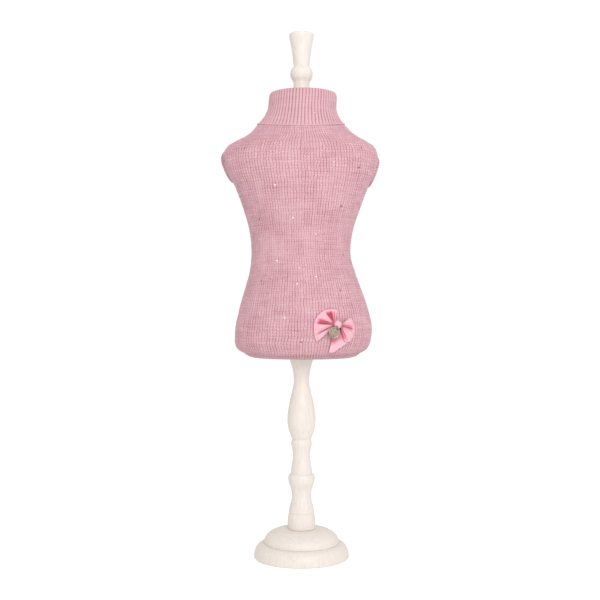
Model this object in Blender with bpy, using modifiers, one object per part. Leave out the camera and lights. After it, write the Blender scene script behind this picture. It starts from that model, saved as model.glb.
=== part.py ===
"""A knitted dog sweater with a roll neck and a bow, on a small dress form with a turned stand.

The sweater hangs as it does on a dog's back: the side towards -Y is the one that shows. Its pieces are a
back panel, a belly panel, a neck, a hem band and two leg bands, each a wall of cloth of its own. A satin
bow with a swinging metal charm sits on the back panel. The form is a smooth torso with a wooden neck
cap, a finial, a column and a two-step foot. Sizes are in millimetres and become metres in the meshes.
"""

import math
from collections import namedtuple

import bmesh
import bpy
import numpy as np
from mathutils import Matrix, Vector
from mathutils.bvhtree import BVHTree

MM = 0.001

# Cloth
KNIT_WALL = 2.0
HEM_WALL = 1.7
RIB_RISE = 0.5
SEAM_GAP = 0.3
FORM_GAP = 0.6
SIDE_SEAM_TURN = math.radians(108)
BACK_PANEL_COLUMNS = 22
BELLY_PANEL_COLUMNS = 13
NECK_RIBS = 56
HEM_RIBS = 42
LEG_RIBS = 16

# A ring of cloth: its height at the sides, half its width, how far it reaches in front and behind, how
# far its middle lies to the right, and how much lower it runs at the middle of the front.
Section = namedtuple("Section", "height half_width front back shift dip")

BODY_SECTIONS = [
    Section(203.5, 61.0, 42.5, 42.5, 0.6, 0.0),
    Section(206.0, 63.6, 45.0, 45.0, 0.6, 0.0),
    Section(209.5, 66.0, 47.0, 46.8, 0.7, 0.0),
    Section(214.5, 67.7, 48.8, 48.4, 1.0, 0.0),
    Section(221.0, 68.3, 49.8, 49.3, 1.7, 0.0),
    Section(230.0, 68.2, 50.0, 49.4, 2.2, 0.0),
    Section(241.0, 66.0, 49.2, 48.6, 2.3, 0.0),
    Section(256.5, 61.8, 47.2, 46.4, 1.9, 0.0),
    Section(271.0, 56.9, 44.6, 43.6, 1.4, 0.0),
    Section(285.0, 52.6, 42.0, 41.0, 0.8, 0.0),
    Section(300.5, 49.6, 40.4, 39.4, -0.5, 0.0),
    Section(314.0, 50.0, 40.6, 39.8, -0.5, 0.0),
    Section(328.5, 52.4, 42.2, 41.6, -0.3, 0.0),
    Section(344.5, 57.3, 44.8, 44.2, 0.1, 0.0),
    Section(358.5, 62.3, 46.6, 46.2, 0.2, 0.0),
    Section(371.0, 67.3, 47.2, 47.0, 0.2, 0.0),
    Section(380.0, 71.9, 46.9, 46.9, -0.2, 0.0),
    Section(388.0, 75.2, 46.0, 46.2, -0.7, 0.0),
    Section(396.0, 77.2, 44.8, 45.0, -1.0, 0.2),
    Section(403.0, 76.8, 43.5, 43.7, -1.1, 0.7),
    Section(409.5, 73.2, 42.4, 42.4, -0.9, 1.6),
    Section(414.2, 66.2, 41.4, 41.2, -0.6, 2.7),
    Section(418.6, 57.9, 40.3, 40.0, -0.2, 3.8),
    Section(424.3, 49.9, 38.6, 38.3, -0.1, 5.2),
    Section(431.3, 43.8, 36.3, 36.0, -0.5, 6.3),
]

NECK_SECTIONS = [
    Section(431.7, 43.1, 35.7, 35.4, -0.5, 6.3),
    Section(436.5, 39.3, 34.6, 34.4, -0.1, 4.6),
    Section(441.5, 36.2, 33.9, 33.8, 0.2, 3.0),
    Section(447.5, 34.2, 33.6, 33.5, 0.6, 1.6),
    Section(459.8, 33.8, 33.6, 33.5, 1.5, 0.0),
    Section(462.4, 32.2, 32.2, 32.1, 1.5, 0.0),
]

# The hem band starts inside the panels' edge and turns under the form.
HEM_SECTIONS = [
    Section(198.4, 40.0, 24.0, 24.0, 0.8, 0.0),
    Section(199.0, 47.6, 30.6, 30.6, 0.8, 0.0),
    Section(201.2, 54.8, 37.2, 37.2, 0.7, 0.0),
    Section(205.0, 59.2, 40.8, 40.8, 0.6, 0.0),
    Section(208.6, 62.2, 43.4, 43.2, 0.7, 0.0),
]

# Heights of the rows of points in each piece of cloth.
PANEL_ROW_HEIGHTS = [203.5, 206.5, 211, 218, 229, 243, 257, 272, 286, 300, 314, 329, 345, 360, 374, 386, 396,
                     404, 410, 414.5, 419.5, 425, 431.3]
NECK_ROW_HEIGHTS = [431.7, 438.0, 446.0, 459.8, 462.4]
HEM_ROW_HEIGHTS = [198.4, 199.0, 201.6, 208.6]

# The underside of the torso, up to where it follows the body's cloth.
TORSO_FOOT_SECTIONS = [
    Section(202.0, 41.5, 27.0, 27.0, 0.8, 0.0),
    Section(202.4, 48.0, 31.5, 31.5, 0.8, 0.0),
    Section(203.8, 52.9, 35.4, 35.4, 0.7, 0.0),
    Section(206.2, 56.6, 38.2, 38.2, 0.6, 0.0),
    Section(209.5, 59.8, 41.1, 41.0, 0.7, 0.0),
    Section(213.5, 62.4, 43.8, 43.6, 0.9, 0.0),
]
TORSO_FOLLOWS_FROM = 217.0
TORSO_TOP = 455.0
TORSO_COLUMNS = 28

# Leg openings, one on each side, in the side seams.
LEFT_LEG_HEIGHT = 391.5
RIGHT_LEG_HEIGHT = 386.5
LEG_AXIS_TURN = math.radians(30)
LEG_HALF_WIDTH = 15.6
LEG_HALF_HEIGHT = 16.4
LEG_BAND_WALL = 1.6
LEG_CUTTER_LENGTH = 50.0

# The rows of a leg band: how far each stands out from the cloth round it, and how far it spreads there.
BandRow = namedtuple("BandRow", "out flare")
LEG_BAND_ROWS = [BandRow(-2.0, 0.0), BandRow(0.6, 0.0), BandRow(1.8, 0.5), BandRow(2.7, 0.25)]

# Turned pieces, as radius and height, from the top down.
FINIAL_PROFILE = [
    (0.0, 522.8), (10.8, 522.8), (12.0, 522.1), (12.2, 520.0), (11.4, 515.5), (10.0, 508.0), (8.9, 500.0),
    (8.0, 492.5), (7.6, 489.8), (9.9, 487.2), (11.1, 483.6), (11.1, 480.6), (10.0, 477.4), (8.3, 474.6),
    (7.9, 471.0), (8.2, 466.0), (8.6, 464.5), (0.0, 464.5),
]
NECK_CAP_PROFILE = [
    (0.0, 464.2), (11.0, 464.0), (20.0, 462.4), (26.2, 459.4), (28.6, 457.2), (28.6, 455.3), (0.0, 455.3),
]
COLUMN_PROFILE = [
    (0.0, 201.7), (12.0, 201.7), (12.0, 198.6), (9.9, 191.0), (8.7, 186.0), (7.8, 179.0), (7.8, 173.5),
    (9.2, 166.0), (10.8, 159.5), (12.6, 151.0), (13.9, 142.0), (14.1, 136.5), (13.6, 130.5), (12.0, 124.5),
    (9.7, 118.4), (9.1, 117.4), (9.9, 116.0), (10.3, 113.0), (9.5, 108.6), (8.7, 103.5), (8.7, 98.5),
    (9.6, 93.0), (10.4, 87.0), (10.5, 83.7), (12.4, 82.4), (13.3, 79.4), (12.8, 75.0), (10.6, 68.0),
    (9.5, 61.5), (10.3, 56.0), (12.0, 50.0), (12.8, 44.9), (12.3, 44.3), (12.9, 43.7), (13.8, 37.0),
    (13.9, 32.5), (13.5, 28.6), (0.0, 28.6),
]
FOOT_DOME_RIM = (37.4, 14.5)
FOOT_DOME_BEND_CENTRE = (17.0, 15.4)
FOOT_DOME_TOP = 28.3
FOOT_PLATE_PROFILE = [
    (0.0, 14.2), (38.6, 14.2), (40.8, 13.8), (43.4, 12.2), (45.4, 9.6), (46.7, 6.2), (47.3, 3.0),
    (47.3, 0.8), (46.6, 0.0), (0.0, 0.0),
]

# The bow: where its knot lies, in width from the middle and in height, and its ribbon, whose loops turn
# back just before their reach.
KNOT_SIDE = 33.4
KNOT_HEIGHT = 233.2
CLOTH_LEVEL_FROM = 216.0
RIBBON_WALL = 1.0
RIBBON_LIFT = 0.4
LOOP_SPACE = 0.4
FOLD_TURN = 0.4
FOLD_WALL = 1.1
LINING_SET_BACK = 1.5
LOOP_INNER_RADIUS = 2.0
LOOP_COLUMNS = 13
LOOP_STEPS = 5

# One row across a loop of the bow: the direction from the knot in degrees, anticlockwise from the right,
# how far the ribbon's fold reaches there, and how high the pleat stands there.
Pleat = namedtuple("Pleat", "direction reach rise")

LEFT_LOOP_BASE = (-2.8, -0.5)
LEFT_LOOP = [
    Pleat(80, 14.2, 1.4),
    Pleat(98, 15.0, 3.4),
    Pleat(120, 16.4, 0.6),
    Pleat(143, 17.8, 2.9),
    Pleat(157, 18.4, 3.2),
    Pleat(172, 19.5, 0.5),
    Pleat(188, 20.2, 2.7),
    Pleat(206, 21.6, 1.5),
    Pleat(222, 23.4, 1.0),
]
RIGHT_LOOP_BASE = (2.6, -1.0)
RIGHT_LOOP = [
    Pleat(-62, 19.2, 1.8),
    Pleat(-52, 18.8, 0.7),
    Pleat(-40, 18.0, 2.9),
    Pleat(-27, 16.9, 2.4),
    Pleat(-12, 15.9, 0.5),
    Pleat(10, 14.6, 3.2),
    Pleat(35, 10.4, 1.2),
]
TAIL_BASE = (1.4, -2.6)
TAIL = [
    Pleat(-112, 25.6, 0.4),
    Pleat(-100, 22.2, 1.2),
    Pleat(-87, 19.6, 0.3),
    Pleat(-74, 18.2, 0.9),
]
TAIL_COLUMNS = 8
KNOT_HALF_SIZES = (3.5, 3.1, 2.7)
KNOT_LIFT = 3.1
KNOT_TILT = math.radians(-28)

# The charm and the jump ring that carries it on the knot, as seen from outside: right, up, out.
CHARM_HOLE = (-2.3, -4.5, 6.6)
CHARM_RADIUS = 5.6
CHARM_THICKNESS = 1.2
CHARM_HOLE_RADIUS = 0.9
CHARM_HOLE_TO_CENTRE = 4.2
CHARM_HANGS_TOWARDS = math.radians(232)
JUMP_RING_RADIUS = 1.6
JUMP_RING_WIRE = 0.35
JUMP_RING_TOWARDS = math.radians(84)


def clear_scene():
    for obj in list(bpy.data.objects):
        bpy.data.objects.remove(obj, do_unlink=True)


def make_material(name, colour, roughness, metallic=0.0):
    material = bpy.data.materials.new(name)
    material.use_nodes = True
    shader = material.node_tree.nodes["Principled BSDF"]
    shader.inputs["Base Color"].default_value = (*colour, 1.0)
    shader.inputs["Roughness"].default_value = roughness
    shader.inputs["Metallic"].default_value = metallic
    return material


def add_object(name, mesh, collection, material=None):
    obj = bpy.data.objects.new(name, mesh)
    collection.objects.link(obj)
    if material:
        mesh.materials.append(material)
    return obj


def adopt(obj, name, collection, material=None):
    """Names an object that an operator made, and moves it to its collection."""
    for owner in list(obj.users_collection):
        owner.objects.unlink(obj)
    obj.name = obj.data.name = name
    collection.objects.link(obj)
    if material:
        obj.data.materials.append(material)
    return obj


def mesh_from_faces(name, points, faces):
    mesh = bpy.data.meshes.new(name)
    mesh.from_pydata([tuple(p) for p in np.asarray(points) * MM], [], faces)
    bm = bmesh.new()
    bm.from_mesh(mesh)
    bmesh.ops.recalc_face_normals(bm, faces=bm.faces)
    bm.to_mesh(mesh)
    bm.free()
    mesh.shade_smooth()
    mesh.set_sharp_from_angle(angle=math.radians(40))
    return mesh


def smooth_through(knots, rows, at):
    """The table's columns at the given places, on a smooth curve through its rows."""
    knots, rows, at = np.asarray(knots, float), np.asarray(rows, float), np.asarray(at, float)
    slopes = np.gradient(rows, knots, axis=0)
    i = np.clip(np.searchsorted(knots, at, side="right") - 1, 0, len(knots) - 2)
    span = knots[i + 1] - knots[i]
    t = (at - knots[i]) / span
    t, span = t[..., None], span[..., None]
    return (
        (2 * t**3 - 3 * t**2 + 1) * rows[i]
        + (t**3 - 2 * t**2 + t) * span * slopes[i]
        + (3 * t**2 - 2 * t**3) * rows[i + 1]
        + (t**3 - t**2) * span * slopes[i + 1]
    )


class RingSurface:
    """A smooth surface through rings of cloth. A turn is the angle round it, from the middle of the front
    towards the right, and a place is the distance along it from its first ring."""

    def __init__(self, sections):
        self.rows = np.array(sections, float)
        steps = np.hypot(np.diff(self.rows[:, 0]), np.diff(self.rows[:, 1]))
        self.places = np.concatenate([[0.0], np.cumsum(steps)])

    def place_at_height(self, height):
        return np.interp(height, self.rows[:, 0], self.places)

    def on(self, turn, place):
        ring = smooth_through(self.places, self.rows, place)
        height, half_width, front, back, shift, dip = np.moveaxis(ring, -1, 0)
        depth = np.where(np.cos(turn) > 0, front, back)
        x = shift + half_width * np.sin(turn)
        y = -depth * np.cos(turn)
        z = height - dip * np.maximum(np.cos(turn), 0.0) ** 1.5
        return np.stack([x, y, z], axis=-1)

    def outward(self, turn, place):
        small = 0.02
        low = np.clip(place - small, 0, self.places[-1])
        high = np.clip(place + small, 0, self.places[-1])
        along = self.on(turn, high) - self.on(turn, low)
        around = self.on(turn + 0.001, place) - self.on(turn - 0.001, place)
        normal = np.cross(around, along)
        return normal / np.linalg.norm(normal, axis=-1, keepdims=True)

    def points(self, turn, place, out=0.0):
        return self.on(turn, place) + self.outward(turn, place) * np.asarray(out)[..., None]


def wall_mesh(name, outer, inner, closed):
    """A wall of cloth between two grids of rows from the bottom up. A closed one goes all round."""
    rows, columns = outer.shape[:2]
    points = np.concatenate([outer.reshape(-1, 3), inner.reshape(-1, 3)])
    inside = rows * columns

    def at(i, j):
        return i * columns + j % columns

    faces = []
    spans = columns if closed else columns - 1
    for j in range(spans):
        for i in range(rows - 1):
            quad = (at(i, j), at(i, j + 1), at(i + 1, j + 1), at(i + 1, j))
            faces.append(quad)
            faces.append(tuple(inside + k for k in reversed(quad)))
        for i in (0, rows - 1):
            faces.append((at(i, j), at(i, j + 1), inside + at(i, j + 1), inside + at(i, j)))
    if not closed:
        for i in range(rows - 1):
            for j in (0, columns - 1):
                faces.append((at(i, j), at(i + 1, j), inside + at(i + 1, j), inside + at(i, j)))
    return mesh_from_faces(name, points, faces)


def solid_mesh(name, rings):
    """A closed solid through rings from the bottom up, with flat ends."""
    rows, columns = rings.shape[:2]
    faces = [
        (i * columns + j, i * columns + (j + 1) % columns, (i + 1) * columns + (j + 1) % columns,
         (i + 1) * columns + j)
        for i in range(rows - 1)
        for j in range(columns)
    ]
    faces.append(tuple(reversed(range(columns))))
    faces.append(tuple((rows - 1) * columns + j for j in range(columns)))
    return mesh_from_faces(name, rings.reshape(-1, 3), faces)


def turned_piece(name, profile, steps, collection, material):
    """A turned shape from its radii and heights, listed from the top down its outer side."""
    mesh = bpy.data.meshes.new(name)
    mesh.from_pydata(
        [(radius * MM, 0.0, height * MM) for radius, height in profile],
        [(i, i + 1) for i in range(len(profile) - 1)],
        [],
    )
    obj = add_object(name, mesh, collection, material)
    screw = obj.modifiers.new("turning", "SCREW")
    screw.axis = "Z"
    screw.steps = screw.render_steps = steps
    screw.use_merge_vertices = True
    screw.merge_threshold = 0.00001
    screw.use_smooth_shade = True
    return obj


def cut(obj, cutter, name):
    boolean = obj.modifiers.new(name, "BOOLEAN")
    boolean.operation = "DIFFERENCE"
    boolean.solver = "EXACT"
    boolean.object = cutter


def leg_frame(side):
    """The middle of a leg opening, and its directions out, back and up. Side is 1 on the right."""
    turn = side * SIDE_SEAM_TURN
    height = RIGHT_LEG_HEIGHT if side > 0 else LEFT_LEG_HEIGHT
    middle = BODY.on(np.array(turn), BODY.place_at_height(height))
    out = np.array([side * math.cos(LEG_AXIS_TURN), math.sin(LEG_AXIS_TURN), 0.0])
    back = np.array([-side * math.sin(LEG_AXIS_TURN), math.cos(LEG_AXIS_TURN), 0.0])
    return middle, out, back, np.array([0.0, 0.0, 1.0])


def make_leg_cutter(side, collection):
    middle, out, back, up = leg_frame(side)
    bpy.ops.mesh.primitive_cylinder_add(vertices=48, radius=1.0, depth=1.0)
    cutter = adopt(bpy.context.object, f"leg_cutter_{'right' if side > 0 else 'left'}", collection)
    axes = np.stack([back * LEG_HALF_WIDTH, up * LEG_HALF_HEIGHT, out * LEG_CUTTER_LENGTH]) * MM
    place = Matrix.Translation(Vector(middle * MM)) @ Matrix(axes.T.tolist()).to_4x4()
    cutter.data.transform(place)
    if place.determinant() < 0:
        cutter.data.flip_normals()
    cutter.hide_render = True
    cutter.display_type = "WIRE"
    return cutter


def panel_places():
    """The rows that the panels and the torso share, so that their faces lie side by side."""
    return BODY.place_at_height(np.array(PANEL_ROW_HEIGHTS))


def half_gap_turn(turn, place):
    """The turn that half a seam's gap takes up on the inner side of the cloth."""
    small = 0.01
    step = BODY.points(turn + small, place, -KNIT_WALL) - BODY.points(turn, place, -KNIT_WALL)
    return small * 0.5 * SEAM_GAP / np.linalg.norm(step, axis=-1)


def make_panel(name, first_turn, last_turn, columns, collection, material, cutters):
    """A body panel between two side seams, with its leg openings cut in."""
    place = panel_places()[:, None]
    inset = half_gap_turn(np.array(first_turn), place) * np.linspace(1, -1, columns)
    turns = np.linspace(first_turn, last_turn, columns) + inset
    outer = BODY.points(turns, place)
    inner = BODY.points(turns, place, -KNIT_WALL)
    panel = add_object(name, wall_mesh(name, outer, inner, closed=False), collection, material)
    for cutter in cutters:
        cut(panel, cutter, cutter.name)
    return panel


def ribbed_ring(name, surface, row_heights, ribs, wall, collection, material):
    """A closed ring of ribbed cloth: its outer points stand out on every second column."""
    columns = np.arange(2 * ribs)
    turns = (columns * math.pi / ribs)[None, :]
    place = surface.place_at_height(np.array(row_heights))[:, None]
    grooves = np.where(columns % 2 == 0, 0.0, -RIB_RISE)[None, :]
    outer = surface.points(turns, place, grooves)
    inner = surface.points(turns, place, -wall)
    return add_object(name, wall_mesh(name, outer, inner, closed=True), collection, material)


def make_neck(collection, material):
    return ribbed_ring("neck_rib", NECK, NECK_ROW_HEIGHTS, NECK_RIBS, KNIT_WALL, collection, material)


def make_hem_band(collection, material):
    surface = RingSurface(HEM_SECTIONS)
    return ribbed_ring("hem_band", surface, HEM_ROW_HEIGHTS, HEM_RIBS, HEM_WALL, collection, material)


def body_tree():
    """The body's outer surface, for finding where a straight line meets it."""
    place = np.linspace(0, BODY.places[-1], 90)[:, None]
    turns = np.linspace(0, math.tau, 121)[None, :]
    grid = BODY.points(turns, place)
    rows, columns = grid.shape[:2]
    faces = [
        (i * columns + j, i * columns + j + 1, (i + 1) * columns + j + 1, (i + 1) * columns + j)
        for i in range(rows - 1)
        for j in range(columns - 1)
    ]
    return BVHTree.FromPolygons([Vector(p) for p in grid.reshape(-1, 3)], faces)


def make_leg_band(side, tree, collection, material):
    """A ribbed band that lines a leg opening and stands out from it."""
    name = f"leg_band_{'right' if side > 0 else 'left'}"
    middle, out, back, up = leg_frame(side)
    columns = np.arange(2 * LEG_RIBS)
    angles = (columns * math.pi / LEG_RIBS)[:, None]
    spokes = np.cos(angles) * back + np.sin(angles) * up
    grooves = np.where(columns % 2 == 0, 0.0, RIB_RISE)[:, None]

    def rim(inset):
        across = (LEG_HALF_WIDTH - inset) * np.cos(angles)
        return middle + across * back + (LEG_HALF_HEIGHT - inset) * np.sin(angles) * up

    def cloth_level(start):
        hit = tree.ray_cast(Vector(start + out * LEG_CUTTER_LENGTH), Vector(-out))[0]
        return np.dot(np.array(hit) - middle, out)

    outer_rim = rim(SEAM_GAP)
    inner_rim = rim(SEAM_GAP + LEG_BAND_WALL)
    levels = np.array([[cloth_level(start)] for start in outer_rim])
    rises = [(levels + row.out) * out + row.flare * spokes for row in LEG_BAND_ROWS]
    outer = np.array([outer_rim - grooves * spokes + rise for rise in rises])
    inner = np.array([inner_rim + rise for rise in rises])
    return add_object(name, wall_mesh(name, outer, inner, closed=True), collection, material)


def make_torso(collection, material):
    """The form's body: its own underside, then the inside of the sweater less a small gap."""
    foot = RingSurface(TORSO_FOOT_SECTIONS)
    turns = np.arange(TORSO_COLUMNS)[None, :] * math.tau / TORSO_COLUMNS
    inside = -(KNIT_WALL + FORM_GAP)
    body_places = [p for p in panel_places() if p > BODY.place_at_height(TORSO_FOLLOWS_FROM)]
    neck_places = NECK.place_at_height(np.array([*NECK_ROW_HEIGHTS[1:3], TORSO_TOP]))
    rings = [
        foot.points(turns, np.array(foot.places)[:, None]),
        BODY.points(turns, np.array(body_places)[:, None], inside),
        NECK.points(turns, neck_places[:, None], inside),
    ]
    rings = np.concatenate(rings)
    rings[-1, :, 2] = TORSO_TOP
    return add_object("torso", solid_mesh("torso", rings), collection, material)


def foot_dome_profile():
    """Flat on top, then a quarter of an ellipse down to the rim."""
    centre_radius, centre_height = FOOT_DOME_BEND_CENTRE
    rim_radius, rim_height = FOOT_DOME_RIM
    bend = [
        (centre_radius + (rim_radius - centre_radius) * math.sin(angle),
         centre_height + (FOOT_DOME_TOP - centre_height) * math.cos(angle))
        for angle in np.linspace(0, math.pi / 2, 8)
    ]
    return [(0.0, FOOT_DOME_TOP), *bend, (rim_radius, rim_height), (0.0, rim_height)]


def cloth_at(right, up):
    """A point of the back panel's outside, measured along the cloth from the bow's knot, and the direction
    out of it. Below the start of the hem's bend the cloth counts as level."""
    height = KNOT_HEIGHT + up
    place = BODY.place_at_height(max(height, CLOTH_LEVEL_FROM))
    turns = np.radians(np.linspace(0, 90, 361))
    ring = BODY.on(turns, np.full_like(turns, place))
    lengths = np.concatenate([[0.0], np.cumsum(np.linalg.norm(np.diff(ring, axis=0), axis=1))])
    start = np.interp(KNOT_SIDE, ring[:, 0], lengths)
    turn = np.interp(start + right, lengths, turns)
    point = BODY.on(np.array(turn), np.array(place))
    point[2] = height
    return point, BODY.outward(np.array(turn), np.array(place))


def bow_point(right, up, out):
    point, outward = cloth_at(right, up)
    return point + outward * out


def bow_matrix(centre, turned=0.0):
    """Where a hard piece of the bow goes: its X to the right, its Y up and its Z out of the cloth, turned
    anticlockwise as seen from outside."""
    middle, outward = cloth_at(0.0, 0.0)
    out = Vector((outward[0], outward[1], 0.0)).normalized()
    right = Vector((-out.y, out.x, 0.0))
    up = Vector((0.0, 0.0, 1.0))
    axes = Matrix((right, up, out)).transposed()
    place = Vector(middle) + axes @ Vector(centre)
    return Matrix.Translation(place * MM) @ axes.to_4x4() @ Matrix.Rotation(turned, 4, "Z")


def make_bow_loop(name, base, pleats, cutter, collection, material):
    """A loop of ribbon pinched at the knot: its front layer is pleated, and it folds round at its reach
    to a plain layer on the cloth."""
    table = np.array(pleats, float)
    directions = np.linspace(table[0, 0], table[-1, 0], LOOP_COLUMNS)
    shape = smooth_through(table[:, 0], table[:, 1:], directions)
    shares = np.linspace(0, 1, LOOP_STEPS)
    front_top = RIBBON_LIFT + 2 * RIBBON_WALL + LOOP_SPACE
    fold = (front_top + RIBBON_LIFT) / 2
    outer, inner = [], []
    for direction, (reach, rise) in zip(np.radians(directions), shape):
        outside, lining = [], []
        for share in shares:
            crest = front_top + max(rise, 0.0) * math.sin(math.pi * share**0.75) ** 0.8
            radius = LOOP_INNER_RADIUS + share * (reach - FOLD_TURN - LOOP_INNER_RADIUS)
            outside.append((radius, crest))
            lining.append((min(radius, reach - LINING_SET_BACK), crest - RIBBON_WALL))
        outside.append((reach, fold))
        lining.append((reach - FOLD_WALL, fold))
        for share in shares[::-2]:
            radius = LOOP_INNER_RADIUS + share * (reach - FOLD_TURN - LOOP_INNER_RADIUS)
            outside.append((radius, RIBBON_LIFT))
            lining.append((min(radius, reach - LINING_SET_BACK), RIBBON_LIFT + RIBBON_WALL))
        for path, points in ((outside, outer), (lining, inner)):
            points.append([
                bow_point(base[0] + r * math.cos(direction), base[1] + r * math.sin(direction), h)
                for r, h in path
            ])
    mesh = wall_mesh(name, np.array(outer), np.array(inner), closed=False)
    loop = add_object(name, mesh, collection, material)
    cut(loop, cutter, "round_the_knot")
    return loop


def make_bow_tail(cutter, collection, material):
    """The ribbon's cut end: one layer that spreads from under the knot to a slanting cut."""
    table = np.array(TAIL, float)
    directions = np.linspace(table[0, 0], table[-1, 0], TAIL_COLUMNS)
    shape = smooth_through(table[:, 0], table[:, 1:], directions)
    outer, inner = [], []
    for direction, (reach, rise) in zip(np.radians(directions), shape):
        radii = np.linspace(LOOP_INNER_RADIUS, reach, LOOP_STEPS)
        waves = RIBBON_LIFT + rise * (radii / reach) ** 2
        for grid, thickness in ((outer, RIBBON_WALL), (inner, 0.0)):
            grid.append([
                bow_point(TAIL_BASE[0] + r * math.cos(direction), TAIL_BASE[1] + r * math.sin(direction),
                          wave + thickness)
                for r, wave in zip(radii, waves)
            ])
    mesh = wall_mesh("bow_tail", np.array(outer), np.array(inner), closed=False)
    tail = add_object("bow_tail", mesh, collection, material)
    cut(tail, cutter, "round_the_knot")
    return tail


def make_knot(name, grow, collection, material=None):
    """The wrap round the middle of the bow: a ball that is wider than it is high or thick."""
    bpy.ops.mesh.primitive_uv_sphere_add(segments=12, ring_count=8, radius=1.0)
    knot = adopt(bpy.context.object, name, collection, material)
    sizes = [(size + grow) * MM for size in KNOT_HALF_SIZES]
    knot.data.transform(bow_matrix((0.0, 0.0, KNOT_LIFT), KNOT_TILT) @ Matrix.Diagonal((*sizes, 1.0)))
    knot.data.shade_smooth()
    return knot


def make_charm(collection, cutters, material):
    """A plain metal disc that hangs from its hole. Its origin is on the hole's axis."""
    hinge = bow_matrix(CHARM_HOLE, CHARM_HANGS_TOWARDS)
    bpy.ops.mesh.primitive_cylinder_add(
        vertices=28, radius=CHARM_RADIUS * MM, depth=CHARM_THICKNESS * MM
    )
    charm = adopt(bpy.context.object, "charm", collection, material)
    charm.data.transform(Matrix.Translation((CHARM_HOLE_TO_CENTRE * MM, 0.0, 0.0)))
    charm.matrix_world = hinge
    bpy.ops.mesh.primitive_cylinder_add(
        vertices=16, radius=CHARM_HOLE_RADIUS * MM, depth=4 * CHARM_THICKNESS * MM
    )
    drill = adopt(bpy.context.object, "charm_drill", cutters)
    drill.matrix_world = hinge
    drill.hide_render = True
    drill.display_type = "WIRE"
    cut(charm, drill, "hole")
    return charm


def make_jump_ring(collection, material):
    """A wire ring through the charm's hole, standing across the charm's plane."""
    bpy.ops.mesh.primitive_torus_add(
        major_segments=16, minor_segments=6,
        major_radius=JUMP_RING_RADIUS * MM, minor_radius=JUMP_RING_WIRE * MM,
    )
    ring = adopt(bpy.context.object, "jump_ring", collection, material)
    centre = Matrix.Translation((JUMP_RING_RADIUS * MM, 0.0, 0.0))
    standing = Matrix.Rotation(math.pi / 2, 4, "X")
    ring.data.transform(bow_matrix(CHARM_HOLE, JUMP_RING_TOWARDS) @ centre @ standing)
    ring.data.shade_smooth()
    return ring


def main():
    clear_scene()
    part = bpy.data.collections.new("dog_sweater_on_dress_form")
    cutters = bpy.data.collections.new("cutters")
    for collection in (part, cutters):
        bpy.context.scene.collection.children.link(collection)

    knit = make_material("pink_knit", (0.71, 0.41, 0.46), 0.9)
    satin = make_material("pink_satin", (0.88, 0.47, 0.56), 0.4)
    silver = make_material("antique_silver", (0.45, 0.38, 0.31), 0.4, metallic=1.0)
    paint = make_material("white_paint", (0.9, 0.85, 0.79), 0.5)
    linen = make_material("form_jersey", (0.82, 0.76, 0.68), 0.85)

    leg_cutters = [make_leg_cutter(side, cutters) for side in (1, -1)]
    make_panel("back_panel", -SIDE_SEAM_TURN, SIDE_SEAM_TURN, BACK_PANEL_COLUMNS, part, knit, leg_cutters)
    make_panel("belly_panel", SIDE_SEAM_TURN, math.tau - SIDE_SEAM_TURN, BELLY_PANEL_COLUMNS, part, knit,
               leg_cutters)
    make_neck(part, knit)
    make_hem_band(part, knit)
    tree = body_tree()
    for side in (1, -1):
        make_leg_band(side, tree, part, knit)

    knot_cutter = make_knot("knot_cutter", SEAM_GAP, cutters)
    knot_cutter.hide_render = True
    knot_cutter.display_type = "WIRE"
    make_bow_loop("bow_loop_left", LEFT_LOOP_BASE, LEFT_LOOP, knot_cutter, part, satin)
    make_bow_loop("bow_loop_right", RIGHT_LOOP_BASE, RIGHT_LOOP, knot_cutter, part, satin)
    make_bow_tail(knot_cutter, part, satin)
    make_knot("bow_knot", 0.0, part, satin)
    make_charm(part, cutters, silver)
    make_jump_ring(part, silver)

    make_torso(part, linen)
    turned_piece("neck_cap", NECK_CAP_PROFILE, 20, part, paint)
    turned_piece("finial", FINIAL_PROFILE, 18, part, paint)
    turned_piece("column", COLUMN_PROFILE, 18, part, paint)
    turned_piece("foot_dome", foot_dome_profile(), 30, part, paint)
    turned_piece("foot_plate", FOOT_PLATE_PROFILE, 30, part, paint)


BODY = RingSurface(BODY_SECTIONS)
NECK = RingSurface(NECK_SECTIONS)
main()
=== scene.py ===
"""Dresses a knitted dog sweater, its satin bow and the small dress form that wears it.

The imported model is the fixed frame, in metres with +Z up, and the side with the bow faces -Y. The classes
below hold their sizes in millimetres and make finer pieces round that frame: knitted panels with real
stitches, ribbed bands, a pleated ribbon bow, crystals, a smooth torso and a turned stand.
"""

import logging
import math
from dataclasses import dataclass
from enum import Enum
from functools import cached_property, partial
from typing import Any, Callable, NamedTuple, Sequence

import bmesh
import bpy
import numpy as np
from bpy.types import Material, Node, NodeSocket, NodeTree, Object
from mathutils import Matrix, Vector
from mathutils.bvhtree import BVHTree


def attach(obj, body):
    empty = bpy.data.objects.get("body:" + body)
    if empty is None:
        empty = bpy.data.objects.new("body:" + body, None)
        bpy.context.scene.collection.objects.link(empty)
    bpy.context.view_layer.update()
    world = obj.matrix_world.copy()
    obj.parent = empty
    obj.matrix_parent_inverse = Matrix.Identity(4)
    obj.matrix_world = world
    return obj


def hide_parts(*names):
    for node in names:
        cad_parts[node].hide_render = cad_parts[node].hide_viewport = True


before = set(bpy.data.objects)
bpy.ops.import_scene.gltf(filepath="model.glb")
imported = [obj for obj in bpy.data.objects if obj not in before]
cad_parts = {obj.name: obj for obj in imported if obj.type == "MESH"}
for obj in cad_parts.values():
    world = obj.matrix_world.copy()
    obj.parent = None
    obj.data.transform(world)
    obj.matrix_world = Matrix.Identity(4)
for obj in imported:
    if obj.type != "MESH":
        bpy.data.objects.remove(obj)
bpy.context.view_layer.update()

LOG = logging.getLogger("sweater")
MM = 0.001
STITCH_MAP = "stitch"
BAKE_MAP = "OFBake"
Array = np.ndarray
Pair = tuple[float, float]
Triple = tuple[float, float, float]


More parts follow.
